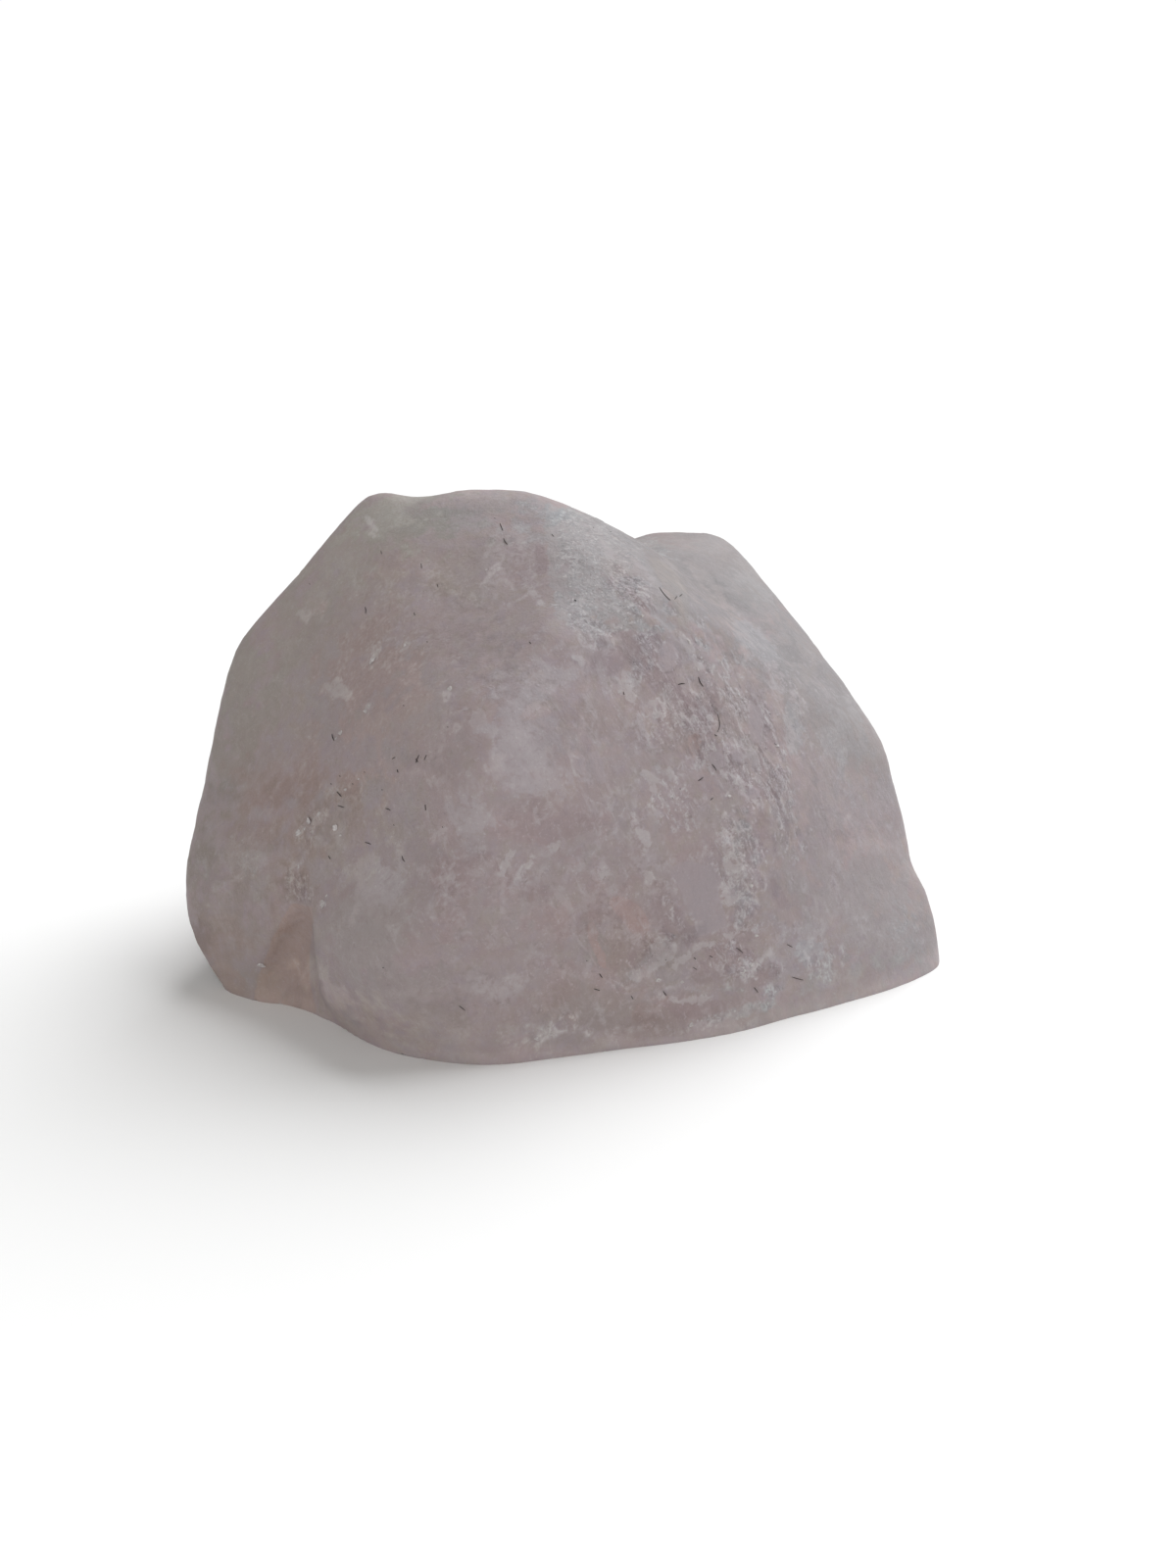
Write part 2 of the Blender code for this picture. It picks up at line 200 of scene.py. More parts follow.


# %% [markdown]
# ## Marks placed one by one
# Quartz like this isn't one colour. It has milky clouds, rose and violet places, a crust that looks
# frosted, brown stains and cool greenish ends. Each mark below is a soft oval: where it lies in the
# picture, its half length and half width there, the way its long side points (in degrees, 0 to the
# right, 90 down), and how strong it is. A sight line finds the place on the skin, so the mark sits on
# the stone and stays there from every side. Some kinds are tints, "pale" and "deep" make the stone
# lighter or darker, partly for its own tone and partly as painted light and shade, "straw", "mauve",
# "moss" and "rust" are thin veils of colour over all the rest, and "torn", "fibre" and "frost" say
# where the relief is rough. A facet, a stain or a vein has a clear edge, so those are outlines with a
# point at each bend.

# %% Large soft marks: the tints of the body
MARKS = {
    "green": [
        (412, 534, 58, 32, 0, 1.0), (345, 575, 64, 30, -52, 0.6), (243, 735, 110, 38, 100, 0.9),
        (212, 860, 60, 20, 95, 0.5), (755, 732, 60, 17, 65, 0.45), (745, 810, 36, 16, 70, 0.4),
        (612, 966, 20, 20, 60, 0.8), (620, 1032, 60, 16, -3, 0.5), (770, 1036, 60, 11, -10, 0.5),
        (470, 590, 40, 26, 60, 0.4), (300, 640, 60, 40, -50, 0.6),
    ],
    "cool": [
        (375, 945, 84, 46, 95, 0.9), (420, 1016, 74, 34, 20, 0.8), (505, 1010, 44, 24, 0, 0.5),
        (930, 950, 40, 44, 80, 0.9), (880, 900, 70, 60, 0, 0.8), (262, 705, 46, 36, 80, 0.4),
        (238, 900, 60, 40, 90, 0.3), (880, 760, 60, 30, 60, 0.6), (745, 640, 60, 24, 45, 0.7),
        (470, 800, 60, 24, 90, 0.4), (248, 960, 30, 30, 0, 0.6),
    ],
    "grey": [
        (838, 705, 130, 48, 54, 1.0), (742, 590, 90, 50, 20, 1.0), (858, 800, 60, 60, 70, 0.4),
        (590, 520, 74, 22, 20, 0.8), (690, 585, 64, 26, 42, 0.9), (640, 548, 56, 24, 35, 0.8),
        (500, 516, 64, 12, -4, 0.5), (905, 800, 50, 30, 70, 0.4),
    ],
    "rose": [
        # The marks at (560, 848) and (690, 1035) are partly rosy stone, partly painted shade where the skin
        # faces down under a ledge.
        (380, 700, 62, 50, 70, 0.9), (430, 770, 60, 46, 80, 0.5), (560, 848, 54, 26, 5, 1.0),
        (472, 900, 42, 40, 0, 0.9), (745, 982, 56, 20, 8, 0.9), (785, 995, 12, 10, 0, 1.0),
        (690, 1035, 50, 16, -5, 0.8), (600, 800, 34, 30, 80, 0.5), (560, 940, 50, 30, 0, 0.7),
        (700, 868, 40, 30, 80, 0.4), (820, 800, 44, 28, 80, 0.3), (866, 850, 50, 40, 0, 0.4),
        (450, 640, 40, 30, 60, 0.3), (292, 800, 56, 30, -10, 0.7), (640, 900, 26, 22, 0, 0.5),
        (575, 1000, 50, 20, 0, 0.4), (450, 840, 22, 40, 90, 0.3),
    ],
    "violet": [
        (692, 706, 48, 17, 60, 1.0), (664, 668, 34, 15, 58, 0.9), (716, 748, 28, 14, 60, 0.8),
        (784, 748, 40, 12, 72, 1.0), (757, 800, 44, 12, 70, 0.7), (528, 582, 40, 22, 85, 0.5),
        (776, 850, 24, 14, 75, 0.8), (640, 598, 24, 9, 45, 0.6), (735, 958, 40, 10, 20, 0.6),
        (480, 905, 32, 30, 80, 0.4), (760, 905, 24, 10, 80, 0.5), (548, 640, 22, 16, 60, 0.4),
        (676, 935, 22, 10, 65, 0.8), (704, 962, 18, 8, 30, 0.7),
    ],
    "lilac": [
        (528, 752, 46, 34, 80, 0.9), (550, 785, 44, 26, 5, 1.0), (480, 838, 28, 18, 90, 1.0),
        (388, 898, 26, 24, 40, 0.8), (252, 873, 20, 18, 0, 0.8), (498, 1010, 32, 16, 12, 0.7),
        (690, 676, 17, 14, 80, 0.4), (709, 906, 26, 24, 70, 0.4), (660, 614, 28, 14, 42, 0.8),
        (530, 562, 38, 26, 80, 0.8), (484, 534, 24, 10, 0, 0.8), (700, 800, 24, 30, 80, 0.5),
        (655, 872, 30, 30, 0, 0.5), (618, 780, 24, 18, 80, 0.4), (900, 812, 30, 24, 60, 0.5),
        (725, 622, 40, 14, 45, 0.5), (560, 700, 30, 40, 90, 0.4), (790, 905, 24, 20, 80, 0.4),
    ],
    "brown": [
        (612, 732, 24, 26, 90, 1.0), (705, 759, 10, 11, 60, 1.0), (290, 812, 56, 30, -10, 0.5),
        (300, 868, 44, 22, 75, 0.6), (235, 1010, 60, 26, 15, 0.8), (250, 850, 64, 50, 90, 0.4),
        (216, 950, 56, 30, 95, 0.5), (640, 990, 50, 26, 0, 0.4), (376, 655, 34, 26, 60, 0.4),
        (738, 572, 34, 14, 5, 0.3), (590, 655, 10, 10, 0, 0.7), (352, 812, 24, 12, 10, 0.6),
        (604, 655, 12, 8, 0, 0.6),
    ],
    "straw": [
        (330, 620, 130, 100, -50, 0.55), (260, 760, 150, 60, 95, 0.5), (250, 900, 110, 60, 95, 0.55),
        (226, 975, 30, 34, 60, 0.6), (400, 560, 70, 60, 0, 0.4), (330, 840, 60, 50, 0, 0.7),
        (380, 700, 60, 60, 0, 0.5), (290, 960, 60, 40, 90, 0.3), (380, 1040, 60, 20, 20, 0.6),
        (480, 1050, 80, 20, 5, 0.4), (230, 1000, 60, 30, 20, 0.5),
    ],
    "mauve": [
        (860, 900, 110, 80, 60, 0.9), (910, 960, 60, 50, 20, 1.0), (830, 800, 90, 50, 60, 0.3),
        (610, 730, 70, 50, 70, 0.6), (520, 740, 80, 40, 85, 0.5), (590, 680, 50, 50, 0, 0.6),
        (690, 640, 60, 40, 45, 0.8), (780, 650, 80, 40, 50, 0.6), (720, 900, 50, 40, 80, 0.45),
        (745, 790, 60, 44, 66, 0.5), (760, 700, 50, 24, 60, 0.5), (700, 810, 60, 50, 60, 0.4),
        (545, 525, 34, 22, 10, 0.8), (810, 985, 50, 30, -10, 0.8), (440, 530, 60, 20, 0, 0.5),
        (620, 860, 90, 50, 0, 0.5), (480, 900, 60, 60, 0, 0.25), (850, 730, 60, 30, 60, 0.6),
        (900, 820, 40, 50, 70, 0.7), (740, 590, 60, 30, 20, 0.5), (560, 610, 60, 30, 0, 0.3),
    ],
    "moss": [
        (400, 530, 70, 30, 0, 0.9), (545, 525, 40, 24, 0, 0.7), (330, 590, 80, 30, -52, 0.5),
        (850, 1000, 60, 20, -12, 1.0), (700, 556, 60, 16, 5, 0.2), (768, 590, 30, 30, 50, 0.4),
        (222, 890, 24, 60, 0, 0.6), (262, 905, 24, 20, 0, 0.6), (260, 1000, 50, 16, 20, 0.6),
        (860, 735, 24, 30, 0, 0.3), (410, 735, 40, 20, 0, 0.5), (260, 700, 40, 70, 10, 0.4),
        (820, 1030, 40, 12, -14, 0.7), (560, 1056, 30, 8, 0, 0.5),
    ],
    "rust": [
        (300, 830, 60, 34, -10, 0.85), (255, 850, 60, 40, 90, 0.3), (305, 915, 26, 40, 90, 0.8),
        (222, 972, 40, 34, 60, 1.0), (765, 905, 24, 24, 0, 0.4), (640, 580, 50, 20, 40, 0.5),
        (245, 980, 30, 24, 0, 0.3), (660, 880, 60, 30, 0, 0.35), (765, 850, 30, 60, 0, 0.35),
        (540, 760, 30, 20, 0, 0.2), (710, 740, 40, 40, 0, 0.3), (632, 965, 60, 30, 70, 0.8),
        (610, 1005, 60, 24, 0, 0.6), (460, 1025, 60, 24, 0, 0.5), (470, 910, 40, 40, 0, 0.3),
        (550, 930, 60, 40, 0, 0.35), (290, 760, 60, 40, 0, 0.4), (680, 1030, 60, 20, -5, 0.3),
        (660, 900, 30, 24, 0, 0.3),
    ],
}
print({kind: len(spots) for kind, spots in MARKS.items()}, "soft marks")

# %% Paler and deeper places: partly the stone's own tone, partly painted light and shade
MARKS.update({
    # Pale marks: partly lighter stone, partly painted light where the skin should look more brightly lit.
    "pale": [
        (388, 528, 44, 20, -20, 0.7), (350, 566, 60, 26, -52, 0.45), (285, 645, 60, 20, -52, 0.2),
        (510, 770, 26, 50, 0, 0.5), (505, 735, 34, 26, 0, 0.3), (560, 790, 40, 16, 20, 0.35),
        (402, 905, 44, 34, 0, 0.3), (380, 925, 20, 14, 0, 0.3), (455, 848, 16, 16, 0, 0.4),
        (862, 1000, 34, 16, -14, 0.6), (850, 940, 14, 16, 0, 0.5), (803, 975, 14, 30, 90, 0.5),
        (880, 760, 30, 24, 60, 0.4), (896, 860, 14, 40, 80, 0.4), (350, 1020, 46, 16, 30, 0.8),
        (560, 590, 26, 16, 0, 0.4), (478, 604, 14, 14, 0, 0.4), (500, 506, 40, 10, 0, 0.5),
        (770, 878, 16, 18, 0, 0.6), (735, 860, 12, 20, 0, 0.4), (742, 912, 14, 14, 0, 0.4),
        (690, 858, 80, 14, 5, 0.3), (600, 640, 30, 12, 0, 0.4), (670, 636, 26, 22, 0, 0.35),
        (628, 712, 10, 18, 0, 0.4), (710, 740, 10, 14, 0, 0.3), (748, 775, 30, 14, 90, 0.3),
        (560, 1054, 40, 12, 0, 0.6), (370, 1040, 40, 12, 35, 0.6), (460, 1062, 70, 8, 5, 0.4),
        (240, 1000, 44, 12, 30, 0.5), (660, 556, 40, 10, 5, 0.6), (720, 556, 34, 10, 5, 0.5),
        (768, 588, 30, 14, 55, 0.6), (860, 745, 30, 34, 60, 0.6), (672, 732, 20, 24, 0, 0.45),
        (222, 930, 14, 14, 0, 0.4), (380, 566, 50, 30, -50, 0.3), (455, 585, 40, 20, 0, 0.25),
        (415, 612, 40, 20, 0, 0.2), (370, 1030, 80, 20, 25, 0.45), (450, 1050, 90, 14, 5, 0.2),
        (628, 726, 18, 26, 0, 0.45), (656, 762, 14, 20, 60, 0.3), (560, 830, 60, 30, 0, 0.3),
        (812, 975, 26, 44, 90, 0.45), (855, 995, 50, 16, -12, 0.4), (390, 900, 44, 40, 0, 0.35),
        (640, 1030, 40, 16, 0, 0.2), (600, 1004, 30, 14, 0, 0.2), (590, 932, 40, 12, 0, 0.25),
        (870, 775, 40, 30, 60, 0.2), (575, 668, 26, 14, 0, 0.3), (715, 987, 20, 12, 0, 0.2),
        (395, 580, 50, 30, 0, 0.15), (800, 722, 30, 16, 60, 0.3), (775, 880, 14, 20, 0, 0.3),
        (750, 915, 20, 14, 0, 0.2), (590, 895, 30, 20, 0, 0.2), (425, 738, 60, 50, 0, 0.45),
        (880, 750, 40, 26, 60, 0.5), (862, 985, 80, 26, -12, 0.4), (900, 965, 40, 24, 0, 0.3),
        (430, 815, 40, 30, 0, 0.25), (540, 590, 60, 24, 0, 0.25), (580, 560, 16, 30, 0, 0.3),
        (690, 645, 30, 30, 0, 0.2), (855, 1000, 40, 14, -12, 0.3), (385, 1050, 50, 12, 30, 0.3),
        (300, 590, 60, 14, -52, 0.4), (228, 700, 14, 50, 10, 0.3), (240, 1012, 50, 10, 25, 0.4),
        (850, 945, 34, 34, 0, 0.4), (850, 1000, 54, 20, -12, 0.4), (805, 1005, 22, 26, 0, 0.4),
        (405, 905, 44, 30, 0, 0.3), (527, 655, 18, 16, 0, 0.35), (550, 588, 36, 30, 0, 0.3),
        (360, 1036, 60, 14, 25, 0.4), (685, 818, 34, 16, 0, 0.3), (765, 815, 16, 20, 0, 0.3),
        (545, 790, 30, 16, 0, 0.25), (355, 560, 60, 26, -52, 0.2), (640, 860, 50, 14, 0, 0.2),
    ],
    # Deep marks: partly darker stone, partly painted shade, as on the brightly lit back slope.
    "deep": [
        (600, 556, 34, 24, 30, 0.5), (545, 540, 24, 22, 0, 0.3), (478, 532, 24, 16, 0, 0.35),
        (698, 590, 40, 16, 75, 0.5), (735, 640, 50, 20, 50, 0.7), (785, 640, 14, 20, 60, 0.3),
        (690, 615, 40, 20, 42, 0.5), (772, 652, 30, 16, 48, 0.3), (645, 662, 26, 14, 10, 0.5),
        (725, 655, 14, 12, 0, 0.4), (580, 665, 16, 20, 0, 0.3), (500, 682, 24, 16, 0, 0.3),
        (680, 706, 20, 14, 60, 0.4), (725, 710, 26, 18, 60, 0.5), (735, 750, 14, 16, 0, 0.3),
        (605, 745, 34, 30, 80, 0.3), (798, 748, 12, 16, 0, 0.5), (805, 790, 20, 20, 0, 0.3),
        (606, 940, 24, 18, 0, 0.6), (785, 838, 24, 12, 10, 0.5), (545, 822, 26, 10, 5, 0.3),
        (488, 872, 16, 20, 0, 0.4), (460, 915, 24, 16, 0, 0.3), (545, 912, 20, 20, 0, 0.3),
        (600, 943, 24, 14, 0, 0.15), (548, 965, 24, 12, 0, 0.35), (600, 1008, 24, 14, 0, 0.1),
        (485, 1000, 24, 14, 10, 0.4), (455, 1025, 50, 18, 0, 0.5), (668, 1050, 24, 12, 0, 0.6),
        (700, 955, 14, 16, 60, 0.5), (785, 905, 14, 16, 80, 0.3), (775, 1036, 20, 10, 0, 0.5),
        (860, 852, 16, 14, 0, 0.4), (466, 648, 50, 36, 60, 0.4), (495, 662, 34, 34, 0, 0.6),
        (520, 722, 20, 44, 90, 0.5), (598, 638, 24, 14, 0, 0.7), (768, 730, 20, 60, 0, 0.5),
        (780, 790, 20, 36, 0, 0.3), (820, 820, 50, 30, 60, 0.35), (670, 575, 70, 22, 38, 0.6),
        (720, 575, 60, 40, 20, 0.3), (718, 608, 60, 22, 45, 0.6), (665, 580, 40, 20, 0, 0.3),
        (615, 575, 24, 30, 0, 0.35), (755, 572, 30, 24, 0, 0.35), (765, 645, 24, 16, 0, 0.3),
        (540, 700, 40, 20, 0, 0.3), (530, 760, 24, 24, 0, 0.4), (582, 745, 30, 36, 0, 0.45),
        (430, 998, 70, 16, 0, 0.4), (690, 745, 30, 36, 60, 0.4), (740, 692, 30, 16, 60, 0.4),
        (788, 766, 16, 18, 0, 0.3), (800, 848, 26, 16, 0, 0.4), (212, 900, 20, 60, 0, 0.4),
        (226, 812, 24, 18, 0, 0.45), (945, 960, 14, 30, 0, 0.4), (675, 975, 20, 16, 0, 0.4),
        (820, 686, 20, 16, 0, 0.3), (890, 880, 30, 40, 0, 0.25), (760, 885, 12, 14, 0, 0.3),
        (790, 680, 50, 28, 50, 0.5), (900, 852, 26, 14, 0, 0.4), (632, 550, 26, 14, 30, 0.5),
        (770, 600, 30, 30, 0, 0.3), (222, 895, 16, 16, 0, 0.4), (250, 930, 30, 30, 0, 0.4),
        (302, 908, 22, 20, 80, 0.5), (330, 835, 34, 30, 0, 0.4), (295, 815, 30, 16, 0, 0.35),
        (278, 860, 20, 16, 0, 0.35), (202, 958, 14, 24, 0, 0.8), (300, 1015, 10, 16, 0, 0.5),
        (240, 970, 20, 14, 0, 0.3), (344, 698, 12, 10, 0, 0.2), (270, 780, 24, 16, 0, 0.2),
        (825, 943, 10, 10, 0, 0.4), (720, 1000, 40, 8, 0, 0.3), (490, 560, 14, 20, 0, 0.3),
        (522, 728, 20, 36, 90, 0.35), (590, 640, 36, 16, 0, 0.35), (636, 570, 54, 20, 38, 0.3),
        (752, 735, 18, 34, 0, 0.35), (768, 778, 40, 24, 0, 0.3), (252, 850, 44, 30, 0, 0.25),
        (306, 918, 20, 16, 0, 0.3), (750, 862, 34, 34, 0, 0.2), (455, 640, 60, 60, 0, 0.15),
        (725, 1045, 34, 12, 0, 0.3), (705, 973, 26, 14, 0, 0.25), (565, 1045, 18, 12, 0, 0.25),
        (212, 945, 20, 40, 0, 0.35), (585, 700, 24, 16, 0, 0.2), (600, 780, 30, 60, 0, 0.12),
        (470, 930, 24, 60, 0, 0.12),
    ],
})

# %% Marks with a clear outline, drawn point by point in the picture
OUTLINES = {
    # The amber wedge in the split is brown stone painted brighter: painted light, the glow through the stone
    # in the shaded recess.
    "amber_with_painted_light": [
        [(298, 921), (319, 926), (319, 950), (316, 973), (316, 1001), (323, 1034), (258, 1022), (264, 995),
         (271, 978), (278, 958), (288, 938)],
    ],
    "orange": [
        [(622, 916), (634, 914), (650, 922), (660, 935), (663, 948), (655, 957), (643, 950), (632, 936),
         (622, 924)],
        [(599, 943), (605, 940), (611, 952), (609, 959), (618, 975), (619, 990), (612, 986), (604, 968),
         (599, 956)],
        [(703, 746), (712, 745), (716, 756), (714, 770), (706, 774), (703, 762)],
    ],
    "facet": [
        [(684, 884), (700, 878), (728, 884), (736, 896), (732, 912), (740, 930), (742, 944), (728, 952),
         (712, 955), (711, 945), (700, 925), (692, 905), (684, 893)],
        [(674, 658), (682, 652), (689, 660), (692, 672), (686, 684), (676, 687), (670, 676)],
        [(764, 716), (776, 722), (780, 740), (776, 758), (766, 760), (763, 740)],
        [(722, 770), (732, 766), (741, 773), (740, 782), (732, 785), (726, 790), (722, 780)],
        [(745, 768), (752, 764), (758, 772), (754, 778), (747, 776)],
        [(762, 806), (768, 803), (775, 806), (775, 813), (768, 816), (762, 813)],
        [(600, 768), (610, 766), (616, 782), (618, 800), (610, 800), (603, 786)],
        [(582, 770), (596, 774), (596, 790), (586, 792)],
    ],
    "plum": [
        [(632, 645), (645, 642), (662, 648), (670, 665), (677, 690), (671, 702), (660, 698), (650, 685),
         (640, 670)],
        [(618, 660), (632, 658), (640, 672), (636, 682), (625, 690), (612, 690), (600, 682), (605, 668)],
        [(637, 596), (645, 600), (660, 614), (676, 630), (672, 634), (655, 622), (640, 606)],
        [(784, 896), (791, 896), (802, 915), (806, 926), (797, 927), (787, 915)],
        [(668, 692), (680, 690), (694, 702), (708, 722), (722, 744), (734, 762), (732, 772), (720, 768),
         (706, 752), (692, 730), (678, 712)],
        [(690, 922), (698, 935), (710, 950), (714, 962), (704, 962), (692, 950), (685, 935)],
        [(546, 555), (556, 556), (560, 578), (552, 590), (545, 584)],
        [(748, 790), (760, 794), (770, 800), (790, 812), (780, 816), (760, 808)],
        [(684, 702), (694, 706), (706, 730), (718, 752), (712, 750), (698, 732), (686, 714)],
    ],
    "rosy": [
        [(704, 996), (712, 984), (728, 975), (742, 962), (752, 960), (770, 968), (764, 980), (752, 985),
         (742, 996), (726, 1004), (712, 1005)],
        [(776, 985), (792, 982), (796, 990), (790, 1000), (778, 1006), (768, 1010), (764, 1000), (770, 992)],
        [(744, 946), (758, 940), (770, 946), (766, 962), (752, 966), (744, 958)],
        # This band low on the right and the next one under the bulge are partly rosy stone, partly painted
        # shade where the skin faces down under a ledge.
        [(676, 1026), (700, 1022), (740, 1020), (742, 1032), (720, 1038), (690, 1040)],
        [(530, 815), (545, 813), (562, 816), (580, 828), (612, 830), (612, 845), (570, 858), (530, 850),
         (510, 838)],
        [(664, 898), (680, 900), (690, 925), (700, 950), (690, 960), (672, 945), (664, 925)],
    ],
    "olive": [
        [(620, 945), (634, 945), (648, 960), (656, 962), (664, 955), (668, 965), (655, 980), (640, 990),
         (630, 998), (622, 985), (616, 965)],
        [(560, 1005), (590, 1000), (640, 1015), (680, 1028), (702, 1040), (700, 1058), (640, 1060),
         (600, 1048), (565, 1035)],
    ],
    "tan": [
        [(610, 568), (625, 568), (640, 578), (648, 586), (646, 592), (636, 588), (620, 592), (614, 578)],
        [(662, 568), (684, 575), (700, 600), (706, 630), (694, 640), (684, 615), (672, 590)],
    ],
    "crust": [
        [(557, 514), (566, 516), (600, 528), (640, 545), (655, 560), (668, 585), (684, 612), (680, 632),
         (690, 642), (682, 646), (668, 632), (655, 612), (645, 600), (640, 592), (636, 598), (626, 602),
         (636, 612), (637, 626), (618, 634), (600, 627), (585, 633), (566, 632), (566, 608), (560, 598),
         (560, 575), (556, 540)],
        [(748, 636), (760, 632), (776, 645), (790, 660), (796, 672), (780, 676), (764, 662), (750, 656)],
        [(802, 716), (815, 718), (820, 740), (816, 768), (806, 770), (801, 745)],
        [(812, 964), (820, 958), (838, 962), (842, 972), (836, 984), (820, 986), (812, 976)],
    ],
    "milky": [
        [(500, 765), (510, 750), (520, 745), (540, 740), (555, 745), (562, 765), (560, 800), (562, 812),
         (545, 813), (530, 808), (515, 800), (502, 795), (498, 780)],
        [(482, 820), (494, 820), (498, 835), (494, 850), (482, 852), (468, 845), (476, 838)],
        [(480, 726), (492, 722), (498, 735), (494, 748), (484, 748)],
        [(246, 872), (258, 866), (270, 870), (275, 880), (266, 888), (256, 890), (247, 884)],
        [(366, 888), (384, 880), (398, 886), (412, 896), (412, 912), (396, 920), (376, 924), (366, 908)],
        [(540, 690), (560, 680), (584, 684), (590, 694), (570, 700), (556, 716), (535, 735), (524, 730),
         (530, 706)],
    ],
    "snow": [
        [(640, 1002), (646, 990), (658, 982), (668, 978), (663, 965), (670, 955), (680, 958), (690, 965),
         (688, 976), (680, 984), (664, 990), (655, 1002)],
        [(668, 1013), (680, 1016), (700, 1018), (720, 1014), (726, 1018), (716, 1024), (690, 1023),
         (674, 1020)],
        [(684, 984), (698, 973), (715, 963), (737, 956), (759, 945), (768, 943), (761, 950), (737, 961),
         (715, 969), (698, 980), (689, 990)],
        [(648, 728), (654, 730), (660, 742), (664, 752), (660, 758), (655, 750), (650, 742)],
        [(664, 716), (672, 713), (679, 722), (679, 734), (675, 737), (668, 730)],
        [(652, 784), (664, 788), (672, 794), (682, 800), (680, 804), (670, 800), (669, 813), (664, 806),
         (662, 795), (652, 790)],
        [(640, 824), (646, 828), (652, 845), (662, 850), (664, 862), (656, 872), (652, 858), (646, 845)],
        [(583, 670), (590, 666), (597, 672), (600, 680), (590, 679)],
        [(736, 828), (744, 832), (742, 850), (746, 870), (744, 884), (738, 878), (736, 855)],
        [(736, 902), (744, 900), (748, 912), (756, 914), (750, 920), (742, 930), (736, 920)],
        [(740, 884), (752, 880), (764, 884), (772, 892), (772, 906), (764, 912), (756, 900), (744, 896)],
        # This streak at (764, 990) to (790, 968) is a painted glint.
        [(764, 990), (768, 982), (784, 968), (790, 968), (788, 974), (774, 984), (768, 996), (763, 998)],
        [(628, 690), (640, 694), (648, 706), (650, 720), (640, 716), (632, 706)],
        [(606, 640), (616, 646), (628, 652), (626, 660), (612, 654), (604, 650)],
        [(688, 642), (696, 646), (706, 656), (712, 672), (716, 682), (712, 684), (704, 668), (694, 652)],
        [(736, 785), (748, 792), (764, 800), (762, 804), (746, 798), (734, 790)],
        [(560, 862), (570, 858), (572, 866), (562, 870)],
        [(610, 888), (618, 884), (622, 892), (614, 898)],
        [(680, 780), (692, 782), (690, 796), (682, 796)],
        [(656, 890), (664, 888), (668, 898), (660, 902)],
        [(508, 888), (520, 868), (526, 868), (520, 882), (512, 896)],
        [(522, 900), (534, 882), (544, 872), (546, 876), (536, 892), (526, 904)],
    ],
}
OUTLINE_FADE = 16.0

